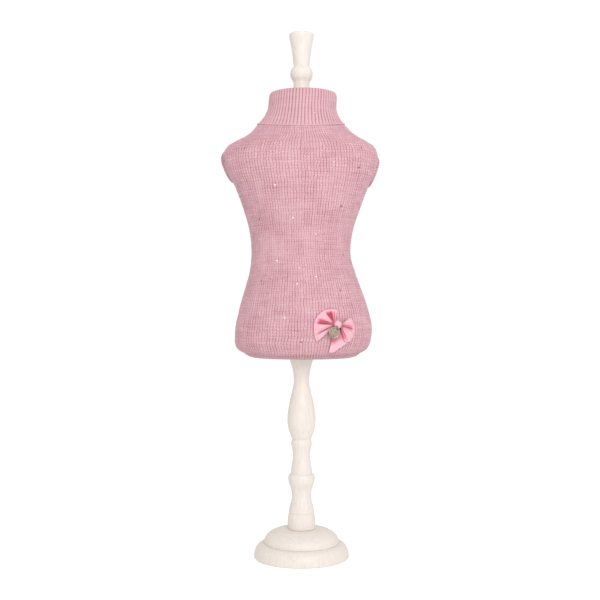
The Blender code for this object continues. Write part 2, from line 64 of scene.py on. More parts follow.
class Body(Enum):
    """The bodies of the model that pieces ride on."""

    MAIN = "sweater_and_form"
    CHARM = "charm"


class Slot(Enum):
    """The model's material slots."""

    KNIT = "pink_knit"
    SATIN = "pink_satin"
    SILVER = "antique_silver"
    STONE = "rhinestone"
    JERSEY = "form_jersey"
    PAINT = "white_paint"


class Side(Enum):
    """The two sides of the form, as the viewer sees them."""

    RIGHT = 1
    LEFT = -1


def linear(colour: str) -> tuple[float, float, float, float]:
    """Turns an sRGB hex colour to linear light.

    Args:
        colour: Six hex digits after a hash sign.

    Returns:
        Red, green, blue and an alpha of 1.
    """
    parts = [int(colour[i : i + 2], 16) / 255 for i in (1, 3, 5)]
    light = [p / 12.92 if p <= 0.04045 else ((p + 0.055) / 1.055) ** 2.4 for p in parts]
    return (light[0], light[1], light[2], 1.0)


def feed(tree: NodeTree, node: Node, inputs: dict) -> Node:
    """Sets a node's inputs.

    Args:
        tree: The tree that the node is in.
        node: The node.
        inputs: What goes into each socket, by its name or number: a value, a socket, or a node, which
            stands for its first output.

    Returns:
        The same node.
    """
    for key, value in inputs.items():
        if isinstance(value, Node):
            value = value.outputs[0]
        if isinstance(value, NodeSocket):
            tree.links.new(value, node.inputs[key])
        else:
            node.inputs[key].default_value = value
    return node


def add_node(tree: NodeTree, kind: str, inputs: dict | None = None, **settings: Any) -> Node:
    """Adds a node with its settings and links.

    Args:
        tree: The tree that the node goes into.
        kind: The node's type.
        inputs: What goes into its sockets, as feed takes it.
        **settings: The node's own properties.

    Returns:
        The new node.
    """
    node = tree.nodes.new(kind)
    for key, value in settings.items():
        setattr(node, key, value)
    return feed(tree, node, inputs or {})


def set_stops(node: Node, *stops: tuple[float, str]) -> Node:
    """Sets the stops of a colour ramp.

    Args:
        node: A colour ramp node.
        *stops: Places from 0 to 1, in order, each with its hex colour.

    Returns:
        The same node.
    """
    elements = node.color_ramp.elements
    while len(elements) < len(stops):
        elements.new(0.5)
    for element, (place, colour) in zip(elements, stops):
        element.position, element.color = place, linear(colour)
    return node


def add_object(name: str, data: Any) -> Object:
    """Adds an object to the scene.

    Args:
        name: Its name.
        data: Its mesh, camera or light.

    Returns:
        The object.
    """
    obj = bpy.data.objects.new(name, data)
    bpy.context.scene.collection.objects.link(obj)
    return obj


def add_mesh(
    name: str, points: Any, edges: Sequence = (), faces: Sequence = (), finish: Material | None = None
) -> Object:
    """Adds an object with a mesh.

    Args:
        name: The piece's name.
        points: Its points in millimetres.
        edges: Its loose edges, as numbers of points.
        faces: Its faces, as numbers of points.
        finish: Its material.

    Returns:
        The object.
    """
    mesh = bpy.data.meshes.new(name)
    mesh.from_pydata((np.array(points, float).reshape(-1, 3) * MM).tolist(), edges, faces)
    if faces:
        mesh.shade_smooth()
    if finish:
        mesh.materials.append(finish)
    return add_object(name, mesh)


def set_attribute(mesh: bpy.types.Mesh, name: str, values: Any) -> None:
    """Gives each point of a mesh a number or a direction.

    Args:
        mesh: The mesh.
        name: The attribute's name.
        values: A value for each point.
    """
    values = np.array(values, np.float32)
    kind, key = ("FLOAT_VECTOR", "vector") if values.ndim > 1 else ("FLOAT", "value")
    mesh.attributes.new(name, kind, "POINT").data.foreach_set(key, values.ravel())


class Knit(Enum):
    """How the yarn is knitted."""

    STOCKINETTE = "stockinette"
    RIB = "rib"


@dataclass(frozen=True)
class Gauge:
    """The shape of one stitch, as shares of its wale and its course.

    Attributes:
        slant: How many courses a leg of the stitch climbs across a whole wale.
        notch: How deep the two legs part in the middle of the wale.
        break_depth: How deep one stitch is parted from the next one above it.
        wander: How far the wales and courses stray from their lines.
        depth: The stitch's relief in millimetres.
        unevenness: How much the yarn's tension varies.
        flatness: The power that a wale's round back is raised to, flatter if smaller.
        fullness: The same for a stitch's back along the wale.
        patch: The scale of the straying, in stitches.
        slack: How much further the courses stray than the wales.
    """

    slant: float
    notch: float
    break_depth: float
    wander: float
    depth: float
    unevenness: float
    flatness: float
    fullness: float = 0.6
    patch: float = 0.33
    slack: float = 1.6


GAUGES = {
    Knit.STOCKINETTE: Gauge(
        slant=1.5, notch=0.4, break_depth=0.78, wander=0.9, depth=0.56, unevenness=0.42, flatness=0.5
    ),
    Knit.RIB: Gauge(
        slant=0.9, notch=0.0, break_depth=0.22, wander=0.22, depth=0.85, unevenness=0.2, flatness=0.7
    ),
}


def add_stitch_height(tree: NodeTree, wale: Any, course: Any, gauge: Gauge) -> dict[str, Any]:
    """Adds the nodes that give how high the yarn stands, in a shader or a geometry tree.

    Args:
        tree: The tree that the nodes go into.
        wale: A socket or node with the place across, 1 for each wale.
        course: A socket or node with the place along, 1 for each course.
        gauge: The shape of one stitch.

    Returns:
        The node of the height, from 0 to 1, and one with a random number for each stitch.
    """
    on_cloth = add_node(tree, "ShaderNodeCombineXYZ", {0: wale, 1: course})
    stray = add_node(tree, "ShaderNodeTexNoise", {"Vector": on_cloth, "Scale": gauge.patch, "Detail": 1.0})
    spread = add_node(tree, "ShaderNodeSeparateXYZ", {0: stray.outputs[1]})
    found = {"wale": wale, "course": course, "stray_x": spread.outputs[0], "stray_y": spread.outputs[1]}
    steps = (
        ("wale", "MULTIPLY_ADD", "stray_x", gauge.wander, "wale"),
        ("course", "MULTIPLY_ADD", "stray_y", gauge.wander * gauge.slack, "course"),
        ("off_middle", "FRACT", "wale"),
        ("off_middle", "SUBTRACT", "off_middle", 0.5),
        ("off_middle", "ABSOLUTE", "off_middle"),
        ("climb", "MULTIPLY", "off_middle", gauge.slant),
        ("phase", "SUBTRACT", "course", "climb"),
        ("across", "MULTIPLY", "off_middle", math.pi),
        ("across", "COSINE", "across"),
        ("across", "POWER", "across", gauge.flatness),
        ("legs", "MULTIPLY", "off_middle", math.tau),
        ("legs", "SINE", "legs"),
        ("legs", "MULTIPLY_ADD", "legs", gauge.notch, 1 - gauge.notch),
        ("across", "MULTIPLY", "across", "legs"),
        ("along", "MULTIPLY", "phase", math.pi),
        ("along", "SINE", "along"),
        ("along", "ABSOLUTE", "along"),
        ("along", "POWER", "along", gauge.fullness),
        ("along", "MULTIPLY_ADD", "along", gauge.break_depth, 1 - gauge.break_depth),
        ("height", "MULTIPLY", "across", "along"),
        ("column", "FLOOR", "wale"),
        ("row", "FLOOR", "phase"),
    )
    for name, operation, *parts in steps:
        values = {k: found[part] if isinstance(part, str) else part for k, part in enumerate(parts)}
        found[name] = add_node(tree, "ShaderNodeMath", values, operation=operation)
    cell = add_node(tree, "ShaderNodeCombineXYZ", {0: found["column"], 1: found["row"]})
    chance = add_node(tree, "ShaderNodeTexWhiteNoise", {"Vector": cell}, noise_dimensions="3D")
    slackness = {0: chance, 1: -gauge.unevenness, 2: 1.0}
    loose = add_node(tree, "ShaderNodeMath", slackness, operation="MULTIPLY_ADD")
    height = add_node(tree, "ShaderNodeMath", {0: found["height"], 1: loose}, operation="MULTIPLY")
    return {"height": height, "chance": chance}


@dataclass(frozen=True)
class Finish:
    """A finish that has one material, made when it is first asked for.

    Attributes:
        name: The material's name, which is what the surface is made of.
    """

    name: str

    @cached_property
    def material(self) -> Material:
        """The finish's material."""
        material = bpy.data.materials.new(self.name)
        material.use_nodes = True
        tree = material.node_tree
        feed(tree, tree.nodes["Principled BSDF"], self.mix(tree))
        return material

    def mix(self, tree: NodeTree) -> dict[str, Any]:
        """Adds this finish's nodes, and gives what goes into the shader."""
        raise NotImplementedError

    def millimetres(self, tree: NodeTree) -> Node:
        """Adds the piece's own coordinates, in millimetres."""
        place = add_node(tree, "ShaderNodeTexCoord").outputs["Object"]
        return add_node(tree, "ShaderNodeMapping", {"Vector": place, "Scale": (1 / MM,) * 3})


@dataclass(frozen=True)
class YarnFinish(Finish):
    """Matt acrylic and wool yarn, knitted by machine.

    The eye reads it by its dark gaps and light loops, which its colour paints as shade between the
    stitches and a highlight on their tops, a haze of short fibres that lightens the edges, and tone that
    changes softly from patch to patch where the tension varies.

    Attributes:
        knit: How the yarn is knitted.
        gap: The painted shade deep between the stitches.
        loop: The colour of most of the yarn.
        crest: The painted highlight on the yarn's top.
        haze: The colour of the fibres seen edge on.
        streaks: Soft streaks on the cloth: their scales across and along, in wales and courses, and how
            much tone they have.
    """

    knit: Knit = Knit.STOCKINETTE
    gap: str = "#a96a78"
    loop: str = "#dbacb5"
    crest: str = "#f6cfd4"
    haze: str = "#f6e3e4"
    streaks: tuple[Triple, ...] = ((0.12, 0.9, 0.34), (0.8, 0.1, 0.3))

    def mix(self, tree: NodeTree) -> dict[str, Any]:
        """Adds the stitches' colour with its painted shade and highlight, their bump and the fibres' haze.

        Args:
            tree: The material's tree.

        Returns:
            What goes into the shader.
        """
        on_cloth = add_node(tree, "ShaderNodeUVMap", uv_map=STITCH_MAP)
        place = add_node(tree, "ShaderNodeSeparateXYZ", {0: on_cloth})
        stitch = add_stitch_height(tree, place.outputs[0], place.outputs[1], GAUGES[self.knit])
        body = self.millimetres(tree)
        fibres = add_node(
            tree, "ShaderNodeTexNoise", {"Vector": body, "Scale": 2.4, "Detail": 3.0, "Roughness": 0.7}
        )
        patches = add_node(tree, "ShaderNodeTexNoise", {"Vector": body, "Scale": 0.045, "Detail": 2.0})
        fuzz = {0: fibres, 1: 0.3, 2: stitch["height"]}
        lift = add_node(tree, "ShaderNodeMath", fuzz, operation="MULTIPLY_ADD")
        shares = [(patches, 0.3), (stitch["chance"], 0.16)]
        for across, along, share in self.streaks:
            scale = {"Vector": on_cloth, "Scale": (across, along, 1.0)}
            stretched = add_node(tree, "ShaderNodeMapping", scale)
            streak = add_node(tree, "ShaderNodeTexNoise", {"Vector": stretched, "Scale": 1.0, "Detail": 2.0})
            shares.append((streak, share))
        tone = lift
        for part, share in shares:
            tone = add_node(tree, "ShaderNodeMath", {0: part, 1: share, 2: tone}, operation="MULTIPLY_ADD")
        tone = add_node(tree, "ShaderNodeMath", {0: tone, 1: 0.72}, operation="SUBTRACT")
        # Stitch height sets the colour: painted shade in the gaps, painted highlight on the crests.
        ramp = add_node(tree, "ShaderNodeValToRGB", {0: tone})
        bump = {"Height": lift, "Strength": 0.6, "Distance": 0.4 * MM}
        return {
            "Base Color": set_stops(ramp, (0.0, self.gap), (0.45, self.loop), (0.95, self.crest)),
            "Roughness": add_node(tree, "ShaderNodeMapRange", {0: stitch["height"], 3: 0.96, 4: 0.82}),
            "Normal": add_node(tree, "ShaderNodeBump", bump),
            "Specular IOR Level": 0.2,
            "Sheen Weight": 0.32,
            "Sheen Roughness": 0.45,
            "Sheen Tint": linear(self.haze),
        }


@dataclass(frozen=True)
class SatinFinish(Finish):
    """Double-faced polyester satin ribbon.

    The eye reads it by broad soft highlights along the pleats, fine threads that run the ribbon's length,
    and a much deeper pink where one layer lights another inside a fold. Its colour paints that as shade
    deep in the folds and as light on the open ribbon.

    Attributes:
        deep: The painted shade at the bottom of a fold.
        fold: The colour half-way up, between the painted shade and the painted light.
        face: The painted light on the open ribbon.
        glint: The colour of the sheen.
    """

    deep: str = "#b3324f"
    fold: str = "#e08398"
    face: str = "#f2bdc9"
    glint: str = "#ffe3ea"

    def mix(self, tree: NodeTree) -> dict[str, Any]:
        """Adds the folds' painted shade and light, and the threads' bump.

        Args:
            tree: The material's tree.

        Returns:
            What goes into the shader.
        """
        # Each point's openness to the light, stored on the mesh, sets painted shade in the folds and painted
        # light on the open ribbon.
        openness = add_node(tree, "ShaderNodeAttribute", attribute_name="openness").outputs["Fac"]
        body = self.millimetres(tree)
        slub = add_node(tree, "ShaderNodeTexNoise", {"Vector": body, "Scale": 0.55, "Detail": 3.0})
        tone = add_node(tree, "ShaderNodeMath", {0: slub, 1: 0.16, 2: openness}, operation="MULTIPLY_ADD")
        tone = add_node(tree, "ShaderNodeMath", {0: tone, 1: 0.08}, operation="SUBTRACT")
        ramp = add_node(tree, "ShaderNodeValToRGB", {0: tone})
        weave = {"Vector": add_node(tree, "ShaderNodeUVMap", uv_map=STITCH_MAP), "Scale": 1.0}
        threads = add_node(tree, "ShaderNodeTexWave", {**weave, "Distortion": 0.6, "Detail": 1.0})
        bump = {"Height": threads, "Strength": 0.16, "Distance": 0.05 * MM}
        return {
            "Base Color": set_stops(ramp, (0.0, self.deep), (0.4, self.fold), (0.8, self.face)),
            "Normal": add_node(tree, "ShaderNodeBump", bump),
            "Roughness": add_node(tree, "ShaderNodeMapRange", {0: slub, 3: 0.42, 4: 0.58}),
            "Specular IOR Level": 0.45,
            "Sheen Weight": 0.25,
            "Sheen Tint": linear(self.glint),
        }


@dataclass(frozen=True)
class SilverFinish(Finish):
    """Die-cast zinc alloy, plated in antique silver and rubbed back by hand.

    The eye reads it by a warm grey metal that is bright on the raised parts and brown-green where the dark
    patina stays in the hollows.

    Attributes:
        patina: The colour in the hollows.
        worn: The colour of the rubbed metal.
    """

    patina: str = "#837869"
    worn: str = "#c3b3a0"

    def mix(self, tree: NodeTree) -> dict[str, Any]:
        """Adds the patina's blotches and the hand-rubbed scratches.

        Args:
            tree: The material's tree.

        Returns:
            What goes into the shader.
        """
        body = self.millimetres(tree)
        blotches = add_node(tree, "ShaderNodeTexNoise", {"Vector": body, "Scale": 0.7, "Detail": 4.0})
        hollows = add_node(tree, "ShaderNodeTexVoronoi", {"Vector": body, "Scale": 0.75}, feature="SMOOTH_F1")
        wear = add_node(tree, "ShaderNodeMath", {0: blotches, 1: hollows}, operation="MULTIPLY")
        ramp = add_node(tree, "ShaderNodeValToRGB", {0: wear})
        bump = {"Height": wear, "Strength": 0.3, "Distance": 0.08 * MM}
        return {
            "Base Color": set_stops(ramp, (0.02, self.patina), (0.34, self.worn)),
            "Roughness": add_node(tree, "ShaderNodeMapRange", {0: wear, 2: 0.4, 3: 0.58, 4: 0.34}),
            "Normal": add_node(tree, "ShaderNodeBump", bump),
            "Metallic": 0.6,
        }


@dataclass(frozen=True)
class CrystalFinish(Finish):
    """Flat-backed glass crystal on a silver foil.

    The eye reads it as a spark: each facet mirrors another part of the room, so some are white and their
    neighbours dark wine from the cloth behind. Those reflections are painted into the colour as glints.

    Attributes:
        bright: The painted reflection on the brightest stones.
        dark: The painted reflection on the stones that mirror nothing bright.
    """

    bright: str = "#ffffff"
    dark: str = "#74293d"

    def mix(self, tree: NodeTree) -> dict[str, Any]:
        """Adds each stone's painted glint and a painted play of light over its facets.

        Args:
            tree: The material's tree.

        Returns:
            What goes into the shader.
        """
        # Painted reflection: each stone's brightness and the facets' pattern set the colour from dark wine to
        # white.
        tone = add_node(tree, "ShaderNodeAttribute", attribute_name="brightness").outputs["Fac"]
        body = self.millimetres(tree)
        facets = add_node(tree, "ShaderNodeTexVoronoi", {"Vector": body, "Scale": 0.9}, feature="F1")
        play = add_node(tree, "ShaderNodeMath", {0: facets, 1: 0.3, 2: tone}, operation="MULTIPLY_ADD")
        ramp = add_node(tree, "ShaderNodeValToRGB", {0: play})
        return {
            "Base Color": set_stops(ramp, (0.1, self.dark), (0.9, self.bright)),
            "Metallic": 0.2,
            "Roughness": 0.12,
            "IOR": 1.56,
            "Coat Weight": 0.5,
            "Coat Roughness": 0.03,
        }


@dataclass(frozen=True)
class PaintFinish(Finish):
    """Turned beech under two coats of satin white furniture paint.

    The eye reads it by a warm white with soft highlights, the faint rings that the lathe left, and a
    slightly greyer tone where brushed paint thins over the grain.

    Attributes:
        thick: The paint's colour.
        thin: Its colour where it is thinnest.
    """

    thick: str = "#f0e7df"
    thin: str = "#e9dfd5"

    def mix(self, tree: NodeTree) -> dict[str, Any]:
        """Adds the brushed tone, the lathe's rings and the gloss.

        Args:
            tree: The material's tree.

        Returns:
            What goes into the shader.
        """
        body = self.millimetres(tree)
        grain = add_node(tree, "ShaderNodeMapping", {"Vector": body, "Scale": (0.5, 0.5, 0.06)})
        brushed = add_node(tree, "ShaderNodeTexNoise", {"Vector": grain, "Scale": 1.0, "Detail": 5.0})
        ramp = add_node(tree, "ShaderNodeValToRGB", {0: brushed})
        turning = {"Vector": body, "Scale": 0.28, "Distortion": 0.5, "Detail": 2.0}
        rings = add_node(tree, "ShaderNodeTexWave", turning, bands_direction="Z")
        relief = add_node(tree, "ShaderNodeMath", {0: rings, 1: 0.25, 2: brushed}, operation="MULTIPLY_ADD")
        bump = {"Height": relief, "Strength": 0.15, "Distance": 0.08 * MM}
        return {
            "Base Color": set_stops(ramp, (0.3, self.thin), (0.6, self.thick)),
            "Normal": add_node(tree, "ShaderNodeBump", bump),
            "Roughness": add_node(tree, "ShaderNodeMapRange", {0: brushed, 3: 0.5, 4: 0.4}),
        }


@dataclass(frozen=True)
class JerseyFinish(Finish):
    """Cream cotton jersey pulled taut over a foam form.

    The eye reads it by an even matt cream with the faint columns of a very fine knit.

    Attributes:
        cloth: The jersey's colour.
        shade: Its colour between the columns.
        column: The width of a column of stitches in millimetres, drawn wider than a real one to show.
    """

    cloth: str = "#ece5da"
    shade: str = "#d9cfc1"
    column: float = 0.9

    def mix(self, tree: NodeTree) -> dict[str, Any]:
        """Adds the fine columns and the soft nap.

        Args:
            tree: The material's tree.

        Returns:
            What goes into the shader.
        """
        body = self.millimetres(tree)
        bands = {"Vector": body, "Scale": 0.314 / self.column, "Distortion": 1.2}
        columns = add_node(tree, "ShaderNodeTexWave", bands)
        nap = add_node(tree, "ShaderNodeTexNoise", {"Vector": body, "Scale": 1.3, "Detail": 4.0})
        tone = add_node(tree, "ShaderNodeMath", {0: columns, 1: 0.3, 2: nap}, operation="MULTIPLY_ADD")
        ramp = add_node(tree, "ShaderNodeValToRGB", {0: tone})
        bump = {"Height": tone, "Strength": 0.4, "Distance": 0.15 * MM}
        return {
            "Base Color": set_stops(ramp, (0.35, self.shade), (0.75, self.cloth)),
            "Normal": add_node(tree, "ShaderNodeBump", bump),
            "Roughness": 0.9,
            "Sheen Weight": 0.2,
        }


@dataclass(frozen=True)
class PaperFinish(Finish):
    """Matt white paper, the studio's floor.

    The eye reads it as an even white with no edge, so it also glows a little where the camera sees it.

    Attributes:
        shade: Its colour where it is least bright.
        glow: How much brighter it looks than it is lit.
    """

    shade: str = "#fdfdfd"
    glow: float = 0.34

    def mix(self, tree: NodeTree) -> dict[str, Any]:
        """Adds the paper's faint grain and its glow.

        Args:
            tree: The material's tree.

        Returns:
            What goes into the shader.
        """
        ramp = add_node(tree, "ShaderNodeValToRGB", {0: add_node(tree, "ShaderNodeTexNoise", {"Scale": 3.0})})
        seen = add_node(tree, "ShaderNodeLightPath").outputs["Is Camera Ray"]
        glow = add_node(tree, "ShaderNodeMath", {0: seen, 1: self.glow}, operation="MULTIPLY")
        return {
            "Base Color": set_stops(ramp, (0.0, self.shade), (1.0, "#ffffff")),
            "Roughness": 1.0,
            "Specular IOR Level": 0.0,
            "Emission Color": (1.0, 1.0, 1.0, 1.0),
            "Emission Strength": glow,
        }


class Ring(NamedTuple):
    """A ring of cloth, in millimetres: its height at the sides, half its width, its reach in front and
    behind, how far its middle lies to the right, and how much lower it runs at the middle of the front."""

    height: float
    half_width: float
    front: float
    back: float
    shift: float
    dip: float = 0.0


class Crease(NamedTuple):
    """A soft trough or ridge in the cloth: where its middle lies, as a turn in degrees and a height, which
    way it runs in degrees from level, its length and width, and how far it stands out, or in if negative."""

    turn: float
    height: float
    run: float
    length: float
    width: float
    rise: float


def smooth_through(knots: Any, rows: Any, at: Any) -> Array:
    """Reads a table at places between its rows, on a smooth curve through them.

    Args:
        knots: The place of each row.
        rows: The table.
        at: The places to read.

    Returns:
        The columns' values, in one more dimension than the places.
    """
    knots, rows, at = np.asarray(knots, float), np.asarray(rows, float), np.asarray(at, float)
    slopes = np.gradient(rows, knots, axis=0)
    i = np.clip(np.searchsorted(knots, at, side="right") - 1, 0, len(knots) - 2)
    span = knots[i + 1] - knots[i]
    t = (at - knots[i]) / span
    t, span = t[..., None], span[..., None]
    return (
        (2 * t**3 - 3 * t**2 + 1) * rows[i]
        + (t**3 - 2 * t**2 + t) * span * slopes[i]
        + (3 * t**2 - 2 * t**3) * rows[i + 1]
        + (t**3 - t**2) * span * slopes[i + 1]
    )


def path_lengths(points: Array) -> Array:
    """Measures how far along its path each point lies.

    Args:
        points: The points, in order along the second last dimension.

    Returns:
        Each point's distance from the path's start.
    """
    steps = np.linalg.norm(np.diff(points, axis=-2), axis=-1)
    return np.concatenate([np.zeros_like(steps[..., :1]), np.cumsum(steps, axis=-1)], axis=-1)


class RingSurface:
    """A smooth surface through rings of cloth.

    A turn is the angle round it, from the middle of the front towards the right. A place is the distance
    along it from its first ring. All lengths are in millimetres.
    """

    def __init__(self, rings: Sequence[Ring], creases: Sequence[Crease] = ()) -> None:
        """Lays the surface through its rings.

        Args:
            rings: The rings, from the bottom up.
            creases: The creases that lie in it.
        """
        self.rows = np.array(rings, float)
        self.places = np.concatenate(
            [[0.0], np.cumsum(np.hypot(np.diff(self.rows[:, 0]), np.diff(self.rows[:, 1])))]
        )
        self.creases = tuple(creases)

    def place_at_height(self, height: Any) -> Array:
        """Finds the place of a height at the sides."""
        return np.interp(height, self.rows[:, 0], self.places)

    def on(self, turn: Any, place: Any) -> Array:
        """Finds points on the smooth form, without its creases.

        Args:
            turn: The angles round it.
            place: The distances along it.

        Returns:
            The points.
        """
        ring = smooth_through(self.places, self.rows, place)
        height, half_width, front, back, shift, dip = np.moveaxis(ring, -1, 0)
        depth = np.where(np.cos(turn) > 0, front, back)
        x = shift + half_width * np.sin(turn)
        z = height - dip * np.maximum(np.cos(turn), 0.0) ** 1.5
        return np.stack(np.broadcast_arrays(x, -depth * np.cos(turn), z), axis=-1)

    def outward(self, turn: Any, place: Any, small: float = 0.02) -> Array:
        """Finds the directions straight out of the surface.

        Args:
            turn: The angles round it.
            place: The distances along it.
            small: How far along it the slope is measured.

        Returns:
            The directions.
        """
        low, high = np.clip(place - small, 0, None), np.clip(place + small, None, self.places[-1])
        along = self.on(turn, high) - self.on(turn, low)
        around = self.on(turn + 0.001, place) - self.on(turn - 0.001, place)
        normal = np.cross(around, along)
        return normal / np.linalg.norm(normal, axis=-1, keepdims=True)

    def crease_rise(self, points: Array, turn: Any) -> Array:
        """Adds up how far the creases lift the cloth.

        Args:
            points: Points on the smooth form.
            turn: Their angles round it.

        Returns:
            The lift at each point.
        """
        lift = np.zeros(points.shape[:-1])
        for crease in self.creases:
            reach = float(np.interp(crease.height, self.rows[:, 0], self.rows[:, 1]))
            bend = (turn - math.radians(crease.turn) + math.pi) % math.tau - math.pi
            across, up = bend * reach, points[..., 2] - crease.height
            run = math.radians(crease.run)
            along = (across * math.cos(run) + up * math.sin(run)) / (crease.length / 2)
            aside = (up * math.cos(run) - across * math.sin(run)) / (crease.width / 2)
            lift += crease.rise * np.exp(-(aside**2) - along**4)
        return lift

    def points(self, turn: Any, place: Any, out: Any = 0.0) -> Array:
        """Finds points on the creased cloth, or some way out of it.

        Args:
            turn: The angles round it.
            place: The distances along it.
            out: How far out of it they lie.

        Returns:
            The points.
        """
        on = self.on(turn, place)
        lift = self.crease_rise(on, turn) + out if self.creases else np.asarray(out) + np.zeros(on.shape[:-1])
        return on + self.outward(turn, place) * lift[..., None]

    def even_turns(
        self, first: float, last: float, place: Array, shares: Array, gap: float = 0.0
    ) -> tuple[Array, Array]:
        """Spreads columns evenly along each ring between two turns.

        Args:
            first: The first turn.
            last: The last turn.
            place: The place of each row.
            shares: Each column's share of the way, from 0 to 1.
            gap: What the first and last columns keep clear, in millimetres.

        Returns:
            The turns, a row for each place, and the rows' lengths.
        """
        fine = np.linspace(first, last, 241)
        lengths = path_lengths(self.on(fine[None, :], place[:, None]))
        spans = lengths[:, -1:]
        wanted = gap / 2 + shares[None, :] * (spans - gap)
        return np.array([np.interp(want, row, fine) for want, row in zip(wanted, lengths)]), spans[:, 0]

    def ray_tree(self, rows: int, columns: int) -> BVHTree:
        """Makes the surface's tree, for finding where a straight line meets it.

        Args:
            rows: How many rows of points it has.
            columns: How many columns of points.

        Returns:
            The tree, in millimetres.
        """
        place = np.linspace(0, self.places[-1], rows)[:, None]
        grid = self.points(np.linspace(0, math.tau, columns)[None, :], place)
        faces = number_faces(grid_faces(rows, columns), rows, columns)
        return BVHTree.FromPolygons([Vector(p) for p in grid.reshape(-1, 3)], faces)


def grid_faces(rows: int, columns: int, closed_rows: bool = False, closed_columns: bool = False) -> Array:
    """Lists the faces of a grid as the numbers of its rows and columns.

    Args:
        rows: How many rows of points there are.
        columns: How many columns of points there are.
        closed_rows: Whether the last row joins the first.
        closed_columns: Whether the last column joins the first.

    Returns:
        Four corners a face, each a row and a column, which pass the last one where the grid closes.
    """
    i, j = np.meshgrid(
        np.arange(rows if closed_rows else rows - 1),
        np.arange(columns if closed_columns else columns - 1),
        indexing="ij",
    )
    corners = [(i, j), (i, j + 1), (i + 1, j + 1), (i + 1, j)]
    return np.stack([np.stack(c, axis=-1) for c in corners], axis=2).reshape(-1, 4, 2)


def number_faces(corners: Array, rows: int, columns: int) -> list[list[int]]:
    """Turns the rows and columns of a grid's faces to the numbers of its points."""
    return (corners[..., 0] % rows * columns + corners[..., 1] % columns).tolist()


